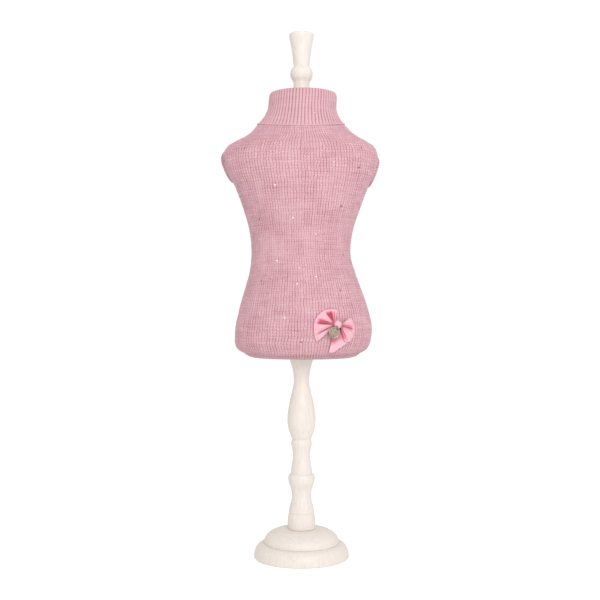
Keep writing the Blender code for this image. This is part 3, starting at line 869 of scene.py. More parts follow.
class ClothMesh:
    """Gathers the points and faces of one piece of cloth, with the maps that its finish reads."""

    def __init__(self) -> None:
        """Starts with no points and no faces."""
        self.points: list[Array] = []
        self.rises: list[Array] = []
        self.stitches: list[Array] = []
        self.faces: list[list[int]] = []
        self.corner_stitches: list[Array] = []
        self.corner_bakes: list[Array] = []
        self.count = 0

    def add_grid(
        self,
        points: Array,
        stitches: Array,
        bake_box: tuple[float, float, float, float],
        rise: Array | None = None,
        closed_rows: bool = False,
        closed_columns: bool = False,
        flip: bool = False,
        keep: Array | None = None,
    ) -> Array:
        """Adds a grid of points and its faces.

        Args:
            points: Rows of points in millimetres, from the bottom up and from left to right.
            stitches: Each point's place in wales and courses, with one more row or column where the grid
                closes.
            bake_box: The part of the bake map that the grid takes: left, bottom, right, top.
            rise: The direction in which each point's yarn stands out, or nothing for a plain side.
            closed_rows: Whether the last row joins the first.
            closed_columns: Whether the last column joins the first.
            flip: Whether the grid is seen from behind.
            keep: For each face, whether it is there.

        Returns:
            The numbers of the points, in the grid's rows and columns.
        """
        rows, columns = points.shape[:2]
        ids = self.count + np.arange(rows * columns).reshape(rows, columns)
        self.count += rows * columns
        self.points.append(points.reshape(-1, 3))
        self.rises.append(np.zeros((rows * columns, 3)) if rise is None else rise.reshape(-1, 3))
        self.stitches.append(stitches[:rows, :columns].reshape(-1, 2))
        corners = grid_faces(rows, columns, closed_rows, closed_columns)
        if keep is not None:
            corners = corners[keep]
        if flip:
            corners = corners[:, ::-1]
        i, j = corners[..., 0], corners[..., 1]
        self.faces += ids[i % rows, j % columns].tolist()
        self.corner_stitches.append(stitches[i, j].reshape(-1, 2))
        left, bottom, right, top = bake_box
        share = np.stack([j / (columns - (not closed_columns)), i / (rows - (not closed_rows))], axis=-1)
        self.corner_bakes.append((share * (right - left, top - bottom) + (left, bottom)).reshape(-1, 2))
        return ids

    def add_faces(self, faces: list[list[int]], bakes: Array) -> None:
        """Adds faces between points that are there.

        Args:
            faces: The numbers of each face's points.
            bakes: The bake map's place for each corner.
        """
        flat = [k for face in faces for k in face]
        self.faces += faces
        self.corner_stitches.append(np.concatenate(self.stitches)[flat])
        self.corner_bakes.append(bakes)

    def boundary(self, first_face: int, last_face: int) -> list[int]:
        """Follows the open edge of some of the faces.

        Args:
            first_face: The first face that counts.
            last_face: The face after the last one that counts.

        Returns:
            The points along the edge, in the faces' own direction.
        """
        edges = {}
        for face in self.faces[first_face:last_face]:
            for a, b in zip(face, face[1:] + face[:1]):
                edges[(a, b)] = True
        following = {a: b for a, b in edges if (b, a) not in edges}
        start = min(following)
        loop = [start]
        while following[loop[-1]] != start:
            loop.append(following[loop[-1]])
        return loop

    def bridge(self, outer: list[int], inner: list[int], bottom: float, top: float) -> None:
        """Closes the wall's edge between the open edges of its two sides.

        Args:
            outer: The outer side's edge, in its faces' direction.
            inner: The inner side's edge, in its faces' direction.
            bottom: The bottom of the bake map's strip for it.
            top: The top of that strip.
        """
        places = np.concatenate(self.points)
        inner = inner[::-1]
        start = int(np.argmin(np.linalg.norm(places[inner] - places[outer[0]], axis=1)))
        inner = inner[start:] + inner[:start]
        near, far = outer + outer[:1], inner + inner[:1]
        faces, shares = [], []
        i = j = 0
        while i < len(outer) or j < len(inner):
            ahead_near = np.linalg.norm(places[near[min(i + 1, len(outer))]] - places[far[j]])
            ahead_far = np.linalg.norm(places[near[i]] - places[far[min(j + 1, len(inner))]])
            if j == len(inner) or (i < len(outer) and ahead_near <= ahead_far):
                faces.append([near[i + 1], near[i], far[j]])
                shares += [((i + 1) / len(outer), 0), (i / len(outer), 0), (j / len(inner), 1)]
                i += 1
            else:
                faces.append([near[i], far[j], far[j + 1]])
                shares += [(i / len(outer), 0), (j / len(inner), 1), ((j + 1) / len(inner), 1)]
                j += 1
        bakes = np.array(shares) * (0.98, top - bottom) + (0.01, bottom)
        self.add_faces(faces, bakes)

    def to_object(self, name: str) -> Object:
        """Makes the piece's object, with its maps and the attributes that the stitches are raised by.

        Args:
            name: The piece's name.

        Returns:
            The object.
        """
        used = np.unique([k for face in self.faces for k in face])
        number = np.zeros(self.count, int)
        number[used] = np.arange(len(used))
        faces = [[int(number[k]) for k in face] for face in self.faces]
        obj = add_mesh(name, np.concatenate(self.points)[used], faces=faces)
        for map_name, corners in ((STITCH_MAP, self.corner_stitches), (BAKE_MAP, self.corner_bakes)):
            layer = obj.data.uv_layers.new(name=map_name)
            layer.data.foreach_set("uv", np.concatenate(corners).astype(np.float32).ravel())
        wale, course = np.concatenate(self.stitches)[used].T
        for label, values in (("wale", wale), ("course", course), ("rise", np.concatenate(self.rises)[used])):
            set_attribute(obj.data, label, values)
        return obj


def plain_copy(obj: Object) -> Object:
    """Turns what an object's modifiers make into its plain mesh.

    Args:
        obj: The object. Its modifiers are removed.

    Returns:
        The same object.
    """
    graph = bpy.context.evaluated_depsgraph_get()
    mesh = bpy.data.meshes.new_from_object(
        obj.evaluated_get(graph), preserve_all_data_layers=True, depsgraph=graph
    )
    obj.modifiers.clear()
    obj.data = mesh
    mesh.name = obj.name
    return obj


def new_tree(name: str, values: dict[str, float]) -> tuple[NodeTree, Node]:
    """Starts a Geometry Nodes tree with a Material input.

    Args:
        name: The tree's name.
        values: What its other inputs are unless they are set. A whole number makes a whole-number input.

    Returns:
        The tree, and its input node.
    """
    tree = bpy.data.node_groups.new(name, "GeometryNodeTree")
    for way in ("INPUT", "OUTPUT"):
        tree.interface.new_socket("Geometry", in_out=way, socket_type="NodeSocketGeometry")
    for label, value in values.items():
        kind = "NodeSocketInt" if isinstance(value, int) else "NodeSocketFloat"
        tree.interface.new_socket(label, in_out="INPUT", socket_type=kind).default_value = value
    tree.interface.new_socket("Material", in_out="INPUT", socket_type="NodeSocketMaterial")
    return tree, tree.nodes.new("NodeGroupInput")


def close_tree(tree: NodeTree, geometry: Any, entry: Node) -> NodeTree:
    """Ends a tree in real geometry with its material.

    Args:
        tree: The tree.
        geometry: The node or socket with the result.
        entry: The tree's input node.

    Returns:
        The same tree.
    """
    real = add_node(tree, "GeometryNodeRealizeInstances", {0: geometry})
    dressed = add_node(
        tree, "GeometryNodeSetMaterial", {"Geometry": real, "Material": entry.outputs["Material"]}
    )
    add_node(tree, "NodeGroupOutput", {0: dressed}, is_active_output=True)
    return tree


def run_tree(obj: Object, tree: NodeTree, values: dict[str, Any]) -> Object:
    """Runs a tree on an object and keeps the result as its plain mesh.

    Args:
        obj: The object.
        tree: The tree.
        values: The tree's inputs, by name.

    Returns:
        The same object.
    """
    modifier = obj.modifiers.new(tree.name, "NODES")
    modifier.node_group = tree
    sockets = {item.name: item.identifier for item in tree.interface.items_tree if item.in_out == "INPUT"}
    for label, value in values.items():
        modifier[sockets[label]] = value
    obj.update_tag()
    return plain_copy(obj)


class StitchRelief:
    """Raises the stitches of one kind of knit out of a piece of cloth."""

    def __init__(self, knit: Knit) -> None:
        """Builds the tree.

        Args:
            knit: How the yarn is knitted.
        """
        gauge = GAUGES[knit]
        self.tree, entry = new_tree(f"{knit.value}_relief", {"Depth": gauge.depth * MM, "Crest": 0.7})
        wale, course, rise = (
            add_node(self.tree, "GeometryNodeInputNamedAttribute", {"Name": label}, data_type=kind)
            for label, kind in (("wale", "FLOAT"), ("course", "FLOAT"), ("rise", "FLOAT_VECTOR"))
        )
        height = add_stitch_height(self.tree, wale, course, gauge)["height"]
        above = add_node(
            self.tree, "ShaderNodeMath", {0: height, 1: entry.outputs["Crest"]}, operation="SUBTRACT"
        )
        lift = add_node(
            self.tree, "ShaderNodeMath", {0: above, 1: entry.outputs["Depth"]}, operation="MULTIPLY"
        )
        offset = add_node(self.tree, "ShaderNodeVectorMath", {0: rise, "Scale": lift}, operation="SCALE")
        moved = add_node(
            self.tree, "GeometryNodeSetPosition", {"Geometry": entry.outputs[0], "Offset": offset}
        )
        close_tree(self.tree, moved, entry)

    def raise_on(self, obj: Object, finish: Finish, depth: float | None = None) -> Object:
        """Raises the stitches and gives the piece its finish.

        Args:
            obj: The piece.
            finish: Its finish.
            depth: The relief in millimetres, where it isn't the knit's own.

        Returns:
            The same piece, as a plain mesh.
        """
        values = {"Material": finish.material}
        if depth is not None:
            values["Depth"] = depth * MM
        run_tree(obj, self.tree, values)
        obj.data.attributes.remove(obj.data.attributes["rise"])
        return obj


def settle(obj: Object, slot: Slot, *replaced: str, body: Body = Body.MAIN) -> Object:
    """Ties a finished piece to the frame.

    Args:
        obj: The piece.
        slot: The material slot that it takes its finish from; not used.
        *replaced: The model's nodes that it stands for.
        body: The body that it rides on.

    Returns:
        The same piece.
    """
    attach(obj, body.value)
    if replaced:
        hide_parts(*replaced)
    LOG.info("%s: %d faces, rides on %s", obj.name, len(obj.data.polygons), body.value)
    return obj


@dataclass(frozen=True)
class Form:
    """The shape of the worn sweater, in millimetres.

    Attributes:
        wall: How thick the knit is.
        seam_gap: What pieces keep between them at a seam.
        form_gap: What the torso keeps clear of the cloth.
        side_seam: The turn of the side seams, in degrees.
        body_rings: The body's rings of cloth.
        neck_rings: The neck's.
        hem_rings: The hem band's, which starts inside the panels' edge and turns under the form.
        creases: The body's soft creases.
    """

    wall: float = 2.0
    seam_gap: float = 0.3
    form_gap: float = 0.6
    side_seam: float = 108.0
    body_rings: tuple[Ring, ...] = (
        Ring(203.5, 61.0, 42.5, 42.5, 0.6), Ring(206.0, 63.6, 45.0, 45.0, 0.6),
        Ring(209.5, 66.0, 47.0, 46.8, 0.7), Ring(214.5, 67.7, 48.8, 48.4, 1.0),
        Ring(221.0, 68.3, 49.8, 49.3, 1.7), Ring(230.0, 68.2, 50.0, 49.4, 2.2),
        Ring(241.0, 66.0, 49.2, 48.6, 2.3), Ring(256.5, 61.8, 47.2, 46.4, 1.9),
        Ring(271.0, 56.9, 44.6, 43.6, 1.4), Ring(285.0, 52.6, 42.0, 41.0, 0.8),
        Ring(300.5, 49.6, 40.4, 39.4, -0.5), Ring(314.0, 50.0, 40.6, 39.8, -0.5),
        Ring(328.5, 52.4, 42.2, 41.6, -0.3), Ring(344.5, 57.3, 44.8, 44.2, 0.1),
        Ring(358.5, 62.3, 46.6, 46.2, 0.2), Ring(371.0, 67.3, 47.2, 47.0, 0.2),
        Ring(380.0, 71.9, 46.9, 46.9, -0.2), Ring(388.0, 75.2, 46.0, 46.2, -0.7),
        Ring(396.0, 77.2, 44.8, 45.0, -1.0, 0.2), Ring(403.0, 76.8, 43.5, 43.7, -1.1, 0.7),
        Ring(409.5, 73.2, 42.4, 42.4, -0.9, 1.6), Ring(414.2, 66.2, 41.4, 41.2, -0.6, 2.7),
        Ring(418.6, 57.9, 40.3, 40.0, -0.2, 3.8), Ring(424.3, 49.9, 38.6, 38.3, -0.1, 5.2),
        Ring(431.3, 43.8, 36.3, 36.0, -0.5, 6.3),
    )
    neck_rings: tuple[Ring, ...] = (
        Ring(431.7, 43.1, 35.7, 35.4, -0.5, 6.3), Ring(436.5, 39.3, 34.6, 34.4, -0.1, 4.6),
        Ring(441.5, 36.2, 33.9, 33.8, 0.2, 3.0), Ring(447.5, 34.2, 33.6, 33.5, 0.6, 1.6),
        Ring(453.5, 33.9, 33.5, 33.4, 1.1, 0.6), Ring(458.0, 33.8, 33.5, 33.4, 1.4, 0.1),
        Ring(460.6, 33.4, 33.2, 33.1, 1.5), Ring(462.4, 32.3, 32.2, 32.1, 1.5),
    )
    hem_rings: tuple[Ring, ...] = (
        Ring(198.4, 40.0, 24.0, 24.0, 0.8), Ring(199.0, 47.6, 30.6, 30.6, 0.8),
        Ring(201.2, 54.8, 37.2, 37.2, 0.7), Ring(205.0, 59.2, 40.8, 40.8, 0.6),
        Ring(208.6, 62.2, 43.4, 43.2, 0.7),
    )
    creases: tuple[Crease, ...] = (
        Crease(-58, 401, -52, 34, 9, -0.45), Crease(-66, 388, -35, 24, 7, 0.5),
        Crease(62, 398, 55, 30, 9, -0.45), Crease(72, 381, 38, 22, 8, 0.5),
        Crease(-20, 419, 6, 44, 5, -0.4), Crease(-26, 413, 4, 36, 7, 0.45),
        Crease(24, 416, -8, 28, 6, -0.35), Crease(-8, 209, 2, 64, 5, -0.4),
        Crease(-12, 214, 0, 80, 6, 0.45), Crease(-46, 216, -5, 34, 7, 0.4),
        Crease(-34, 306, 10, 30, 10, 0.35), Crease(40, 298, -14, 26, 9, 0.3),
        Crease(-150, 396, 50, 34, 9, 0.6), Crease(152, 390, -48, 30, 9, 0.5),
        Crease(172, 414, 5, 50, 6, -0.4), Crease(-164, 318, 12, 34, 10, 0.45),
        Crease(158, 305, -9, 40, 11, 0.4), Crease(178, 212, 3, 62, 6, 0.45),
    )

    @cached_property
    def body(self) -> RingSurface:
        """The body's outer surface, with its creases."""
        return RingSurface(self.body_rings, self.creases)

    @cached_property
    def neck(self) -> RingSurface:
        """The neck's outer surface."""
        return RingSurface(self.neck_rings)

    @cached_property
    def body_tree(self) -> BVHTree:
        """What finds where a straight line meets the body's outer surface."""
        return self.body.ray_tree(160, 241)

    @cached_property
    def neck_tree(self) -> BVHTree:
        """What finds where a straight line meets the neck's outer surface."""
        return self.neck.ray_tree(30, 121)


FORM = Form()


@dataclass(frozen=True)
class LegOpening:
    """An oval opening in a side seam, in millimetres.

    Attributes:
        side: Which side it is on.
        height: How high its middle lies.
        axis_turn: How far towards the hidden side it faces, in degrees.
        half_width: Half its width.
        half_height: Half its height.
        reach: How far outside the cloth a line to it starts.
    """

    side: Side
    height: float
    axis_turn: float = 30.0
    half_width: float = 15.6
    half_height: float = 16.4
    reach: float = 50.0

    @cached_property
    def directions(self) -> Array:
        """Its middle, and its directions out, back and up."""
        side, turn = self.side.value, math.radians(self.axis_turn)
        seam = np.array(side * math.radians(FORM.side_seam))
        middle = FORM.body.on(seam, FORM.body.place_at_height(self.height))
        out = (side * math.cos(turn), math.sin(turn), 0.0)
        back = (-side * math.sin(turn), math.cos(turn), 0.0)
        return np.array([middle, out, back, (0.0, 0.0, 1.0)])

    def spread(self, points: Array) -> tuple[Array, Array]:
        """Measures how far points lie from the opening's axis.

        Args:
            points: The points.

        Returns:
            Their distances, where 1 is the oval's edge, and whether they are on the axis' outer half.
        """
        middle, out, back, up = self.directions
        from_middle = points - middle
        distance = np.hypot(from_middle @ back / self.half_width, from_middle @ up / self.half_height)
        return distance, from_middle @ out > -self.half_width

    def snap(self, points: Array, inward: float) -> Array:
        """Moves points near the oval's edge onto it, at the cloth's level.

        Args:
            points: The points.
            inward: How far inside the cloth's outer surface they lie.

        Returns:
            The moved points.
        """
        middle, out, back, up = self.directions
        distance, _ = self.spread(points)
        from_middle = points - middle
        flat = (from_middle @ back)[:, None] * back + (from_middle @ up)[:, None] * up
        flat /= distance[:, None]
        return np.array([middle + edge + out * self.level(middle + edge, inward) for edge in flat])

    def level(self, start: Array, inward: float = 0.0) -> float:
        """Finds how far out along the axis the cloth lies.

        Args:
            start: A point in the plane through the opening's middle.
            inward: How far inside the cloth's outer surface to stop.

        Returns:
            The distance from the plane.
        """
        middle, out, _, _ = self.directions
        place, normal, _, _ = FORM.body_tree.ray_cast(Vector(start + out * self.reach), Vector(-out))
        lean = max(abs(normal.dot(Vector(out))), 0.5)
        return float((np.array(place) - middle) @ out - inward / lean)


LEG_OPENINGS = (LegOpening(Side.RIGHT, 386.5), LegOpening(Side.LEFT, 391.5))


@dataclass
class BodyPanel:
    """A knitted panel between two side seams, in millimetres.

    Attributes:
        name: The piece's name.
        node: The node of the model that it stands for.
        first_turn: The turn of its left seam, in degrees.
        last_turn: The turn of its right seam, in degrees.
        wales: How many wales it has across.
        wale_points: How many columns of points a wale has.
        course_points: How many rows of points a course has.
        courses: Heights and how far apart the courses are there, closer where the knit is stretched wide.
        lining_points: Wales and courses between the points of the plain inner side.
        seam_pinch: How far the edges dip into a seam, and how wide that dip is.
        hem_pinch: The same for the lower edge, which curls under at the sides and rolls out in front.
    """

    name: str
    node: str
    first_turn: float
    last_turn: float
    wales: int
    wale_points: int = 4
    course_points: int = 3
    courses: tuple[Pair, ...] = (
        (203.5, 2.8), (230.0, 2.66), (300.0, 2.35), (340.0, 2.5), (380.0, 3.0), (431.3, 2.9),
    )
    lining_points: int = 2
    seam_pinch: Pair = (0.3, 1.6)
    hem_pinch: Pair = (1.2, 4.5)

    def course_places(self) -> Array:
        """Spaces the rows of points along the body by the courses' pitch.

        Returns:
            The place of each row.
        """
        fine = np.linspace(0, FORM.body.places[-1], 2001)
        heights, pitches = np.array(self.courses).T
        rate = 1 / np.interp(np.interp(fine, FORM.body.places, FORM.body.rows[:, 0]), heights, pitches)
        count = np.concatenate([[0.0], np.cumsum((rate[1:] + rate[:-1]) / 2 * np.diff(fine))])
        total = round(count[-1])
        wanted = np.arange(total * self.course_points + 1) / self.course_points
        return np.interp(wanted * count[-1] / total, count, fine)

    def side_points(self, place: Array, columns: int, inward: float) -> tuple[Array, Array]:
        """Finds the points of one side of the panel.

        Args:
            place: The place of each row.
            columns: How many columns there are.
            inward: How far inside the cloth's outer surface they lie.

        Returns:
            The points, and the directions out of them.
        """
        turns, lengths = FORM.body.even_turns(
            math.radians(self.first_turn), math.radians(self.last_turn), place,
            np.linspace(0, 1, columns), FORM.seam_gap,
        )
        across = np.linspace(0, 1, columns)[None, :] * lengths[:, None]
        edge = np.minimum(np.minimum(across, lengths[:, None] - across), (place[-1] - place)[:, None])
        (pinch, width), (curl, length) = self.seam_pinch, self.hem_pinch
        at_side = np.clip((np.abs(np.sin(turns)) - 0.5) / 0.35, 0, 1)
        dip = -pinch * np.exp(-((edge / width) ** 2))
        dip -= curl * (1.3 * at_side - 0.3) * np.exp(-((place / length) ** 2))[:, None]
        dip = dip if inward == 0 else -inward
        return FORM.body.points(turns, place[:, None], dip), FORM.body.outward(turns, place[:, None])

    def outside_openings(self, points: Array) -> Array:
        """Finds the faces of a grid whose middles lie outside the leg openings.

        Args:
            points: Rows of points.

        Returns:
            For each face, whether it does.
        """
        middles = (points[1:, 1:] + points[:-1, :-1]) / 2
        keep = np.ones(middles.shape[:2], bool)
        for opening in LEG_OPENINGS:
            distance, outer_half = opening.spread(middles)
            keep &= ~((distance < 1) & outer_half)
        return keep.ravel()

    def snap_edge(self, cloth: ClothMesh, loop: list[int], inward: float, within: float) -> None:
        """Moves the points round the openings onto the ovals' edges.

        Args:
            cloth: The panel so far.
            loop: The numbers of the points along its edge.
            inward: How far inside the cloth's outer surface they lie.
            within: How far from the middle such a point may lie, where 1 is the oval's edge.
        """
        places = np.concatenate(cloth.points)
        for opening in LEG_OPENINGS:
            near = [k for k in loop if opening.spread(places[k : k + 1])[0][0] < within]
            near = [k for k in near if opening.spread(places[k : k + 1])[1][0]]
            if near:
                places[near] = opening.snap(places[near], inward)
        cloth.points = [places]

    def add_side(
        self, cloth: ClothMesh, place: Array, columns: int, inward: float, within: float
    ) -> tuple[Array, list[int]]:
        """Adds one side of the panel, with its openings cut out.

        Args:
            cloth: The panel so far.
            place: The place of each row.
            columns: How many columns of points there are.
            inward: How far inside the cloth's outer surface it lies: 0 for the side with the stitches.
            within: How near an opening a point on the side's edge has to be to count as its edge.

        Returns:
            The side's points, before the openings' edges are smoothed, and the numbers of those on its edge.
        """
        first_face, outer = len(cloth.faces), inward == 0
        points, outward = self.side_points(place, columns, inward)
        courses = np.arange(len(place)) * (1 / self.course_points if outer else self.lining_points)
        stitches = np.stack(np.meshgrid(np.linspace(0, self.wales, columns), courses), axis=-1)
        bottom, top = (0.16, 0.99) if outer else (0.04, 0.14)
        cloth.add_grid(
            points, stitches, (0.01, bottom, 0.99, top), outward if outer else None, flip=not outer,
            keep=self.outside_openings(points),
        )
        edge = cloth.boundary(first_face, len(cloth.faces))
        self.snap_edge(cloth, edge, inward, within)
        return points, edge

    def build(self, relief: StitchRelief, finish: Finish, bands: Sequence[Object] = ()) -> None:
        """Makes the panel, with every stitch on its outer side and a plain inner side.

        Args:
            relief: What raises the stitches.
            finish: The yarn.
            bands: The bands that are knitted on at its openings; not used.
        """
        place = self.course_places()
        columns = self.wales * self.wale_points + 1
        cloth = ClothMesh()
        outer, edge = self.add_side(cloth, place, columns, 0.0, 1.12)
        lining_place = place[:: self.course_points * self.lining_points]
        if lining_place[-1] != place[-1]:
            lining_place = np.append(lining_place, place[-1])
        lining_columns = columns // (self.wale_points * self.lining_points) + 1
        _, lining_edge = self.add_side(cloth, lining_place, lining_columns, FORM.wall, 1.36)
        cloth.bridge(edge, lining_edge, 0.01, 0.03)
        piece = relief.raise_on(cloth.to_object(self.name), finish)
        settle(piece, Slot.KNIT, self.node)


def closed_normals(points: Array) -> Array:
    """Finds the directions out of a grid that closes both ways.

    Args:
        points: Rows of points, up the outer side and down the inner one.

    Returns:
        A direction for each point.
    """
    along = np.roll(points, -1, axis=0) - np.roll(points, 1, axis=0)
    around = np.roll(points, -1, axis=1) - np.roll(points, 1, axis=1)
    normal = np.cross(around, along)
    return normal / np.linalg.norm(normal, axis=-1, keepdims=True)


@dataclass(kw_only=True)
class RibbedTube:
    """A band of ribbed cloth that closes both ways, in millimetres.

    Attributes:
        relief: What raises the ribs.
        finish: The yarn.
        ribs: How many ribs go round it.
        rib_points: How many columns of points a rib has.
        depth: The ribs' relief.
        course: How far apart the courses are.
    """

    relief: StitchRelief
    finish: Finish
    ribs: int
    rib_points: int
    depth: float
    course: float

    def make_tube(self, name: str, points: Array, lengths: Array, raised: Array) -> Object:
        """Makes the tube.

        Args:
            name: The piece's name.
            points: Rows of points, up the outer side and down the inner one.
            lengths: Each row's place along the wales, with one more for the row that closes it.
            raised: How much of the ribs' relief each row has.

        Returns:
            The piece.
        """
        across = np.arange(points.shape[1] + 1) / self.rib_points
        stitches = np.stack(np.meshgrid(across, lengths / self.course), axis=-1)
        cloth = ClothMesh()
        cloth.add_grid(
            points, stitches, (0.01, 0.01, 0.99, 0.99), closed_normals(points) * raised[:, None, None],
            closed_rows=True, closed_columns=True,
        )
        return self.relief.raise_on(cloth.to_object(name), self.finish, self.depth)


@dataclass(kw_only=True)
class RibbedBand(RibbedTube):
    """A ribbed tube of cloth that follows a surface, in millimetres.

    Attributes:
        name: The piece's name.
        node: The node of the model that it stands for.
        surface: Its outer surface.
        wall: How thick it is.
        row_step: How far apart the rows of points are.
        edge_roll: How far each rim swells where the yarn is bound off, and over what length.
    """

    name: str
    node: str
    surface: RingSurface
    wall: float = FORM.wall
    rib_points: int = 6
    depth: float = 0.85
    course: float = 2.5
    row_step: float = 0.85
    edge_roll: Pair = (0.25, 2.0)

    def section(self) -> Array:
        """Goes once round the band's wall.

        Returns:
            For each row, its place, how far out it lies and how much its ribs are raised.
        """
        end, half = self.surface.places[-1], self.wall / 2
        round_off = 0.6 * half
        roll, length = self.edge_roll
        outer = np.linspace(round_off, end - round_off, max(3, round(end / self.row_step)))
        from_edge = np.minimum(outer, end - outer)
        swell = np.exp(-((from_edge / length) ** 2))
        rows = [np.stack([outer, roll * swell, 1 - 0.75 * swell], axis=1)]
        turn = np.linspace(0, math.pi, 7)[1:-1]
        cap = np.stack([np.sin(turn) * round_off, (half + roll) * np.cos(turn) - half, 0 * turn], axis=1)
        rows.append(cap * (1, 1, 1) + (end - round_off, 0, 0))
        inner = np.linspace(end - round_off, round_off, max(3, round(end / 5)))
        rows.append(np.stack([inner, np.full_like(inner, -self.wall), np.zeros_like(inner)], axis=1))
        rows.append(cap[::-1] * (-1, 1, 1) + (round_off, 0, 0))
        return np.concatenate(rows)

    def build(self) -> None:
        """Makes the band."""
        section = self.section()
        shares = np.linspace(0, 1, self.ribs * self.rib_points + 1)
        turns, lengths = self.surface.even_turns(0.0, math.tau, section[:, 0], shares)
        points = self.surface.points(turns[:, :-1], section[:, :1], section[:, 1:2])
        piece = self.make_tube(self.name, points, np.append(section[:, 0], section[0, 0]), section[:, 2])
        settle(piece, Slot.KNIT, self.node)
        outer = self.surface.on(turns, section[:, :1])[: int(np.argmax(section[:, 0]))]


@dataclass(kw_only=True)
class LegBand(RibbedTube):
    """A ribbed band that lines a leg opening and rolls over its edge, in millimetres.

    Attributes:
        opening: The opening.
        section: The wall's way round, as how far inside the oval and how far out of the cloth.
        smoothing: How many rows of points go between two of those.
    """

    opening: LegOpening
    ribs: int = 48
    rib_points: int = 5
    depth: float = 0.25
    course: float = 2.4
    section: tuple[Pair, ...] = (
        (0.35, -1.9), (0.3, -0.6), (0.25, 0.5), (-0.1, 1.5), (-0.05, 2.3), (0.5, 2.8), (1.2, 2.7),
        (1.75, 2.0), (1.9, 0.8), (1.9, -0.6), (1.85, -1.8), (1.1, -2.1),
    )
    smoothing: int = 3

    def rim(self, inset: float) -> Array:
        """Draws the oval in the plane through the opening's middle.

        Args:
            inset: How far inside the opening's edge it runs.

        Returns:
            Its points.
        """
        opening, columns = self.opening, self.ribs * self.rib_points
        middle, _, back, up = opening.directions
        angles = opening.side.value * np.arange(columns)[:, None] * math.tau / columns
        across = (opening.half_width - inset) * np.cos(angles) * back
        return middle + across + (opening.half_height - inset) * np.sin(angles) * up

    def build(self) -> Object:
        """Makes the band.

        Returns:
            The piece.
        """
        out, side = self.opening.directions[1], self.opening.side.name.lower()
        closed = np.array([*self.section, self.section[0]])
        rows = len(self.section) * self.smoothing
        section = smooth_through(range(len(closed)), closed, np.arange(rows) / self.smoothing)
        levels = np.array([self.opening.level(start) for start in self.rim(FORM.seam_gap)])[:, None]
        points = np.array([self.rim(inset) + (levels + rise) * out for inset, rise in section])
        lengths = path_lengths(np.concatenate([section, section[:1]]))
        raised = np.clip((section[:, 1] + 1.5) / 1.5, 0, 1)
        piece = self.make_tube(f"leg_rib_{side}", points, lengths, raised)
        return settle(piece, Slot.KNIT, f"leg_band_{side}")


@dataclass
class NeckSeam:
    """The chain of slanting stitches that links the neck to the body, in millimetres.

    Attributes:
        links: How many stitches go round.
        link: A stitch's half length, half width and half height.
        lean: How far each stitch leans across the seam, in degrees.
        sunk: How far its middle lies inside the cloth, or outside if negative.
        lit_stitch: The place on the stitch map, in wales and courses, where the yarn's colour has its painted
            highlight.
    """

    links: int = 132
    link: Triple = (1.3, 0.75, 0.7)
    lean: float = 24.0
    sunk: float = -0.1
    lit_stitch: Triple = (0.3, 0.155, 0.0)

    def build_tree(self) -> NodeTree:
        """Builds the tree that lays the stitches along a line of edges.

        Returns:
            The tree.
        """
        tree, entry = new_tree("linking_chain", {"Links": self.links, "Lean": math.radians(self.lean)})
        line = add_node(tree, "GeometryNodeMeshToCurve", {0: entry})
        spaced = add_node(tree, "GeometryNodeResampleCurve", {"Curve": line, "Count": entry.outputs["Links"]})
        stitch = add_node(tree, "GeometryNodeMeshUVSphere", {"Segments": 8, "Rings": 5, "Radius": 1.0})
        ahead = add_node(tree, "GeometryNodeInputTangent")
        facing = add_node(tree, "FunctionNodeAlignRotationToVector", {"Vector": ahead}, axis="X")
        lean = add_node(tree, "ShaderNodeCombineXYZ", {1: entry.outputs["Lean"]})
        turn = {"Rotation": facing, "Rotate By": lean}
        leaning = add_node(tree, "FunctionNodeRotateRotation", turn, rotation_space="LOCAL")
        size = tuple(half * MM for half in self.link)
        laid = {"Points": spaced, "Instance": stitch, "Rotation": leaning, "Scale": size}
        chain = add_node(tree, "GeometryNodeInstanceOnPoints", laid)
        real = add_node(tree, "GeometryNodeRealizeInstances", {0: chain})
        smooth = add_node(tree, "GeometryNodeSetShadeSmooth", {0: real})
        # The whole chain takes the painted highlight of the yarn's crest.
        crest = {"Geometry": smooth, "Name": STITCH_MAP, "Value": self.lit_stitch}
        lit = add_node(tree, "GeometryNodeStoreNamedAttribute", crest, data_type="FLOAT2", domain="CORNER")
        return close_tree(tree, lit, entry)

    def build(self, finish: Finish) -> None:
        """Makes the chain.

        Args:
            finish: The yarn.
        """
        turns = np.linspace(0, math.tau, 241)[:-1]
        points = FORM.neck.points(turns, np.zeros_like(turns), -self.sunk)
        edges = [(i, (i + 1) % len(points)) for i in range(len(points))]
        piece = add_mesh("neck_seam", points, edges)
        run_tree(piece, self.build_tree(), {"Material": finish.material})
        settle(piece, Slot.KNIT)


class Pleat(NamedTuple):
    """One line across a loop of the bow: its direction in degrees, anticlockwise from the right, how far the
    ribbon reaches there, and how high the pleat stands there, or how deep if negative."""

    direction: float
    reach: float
    rise: float


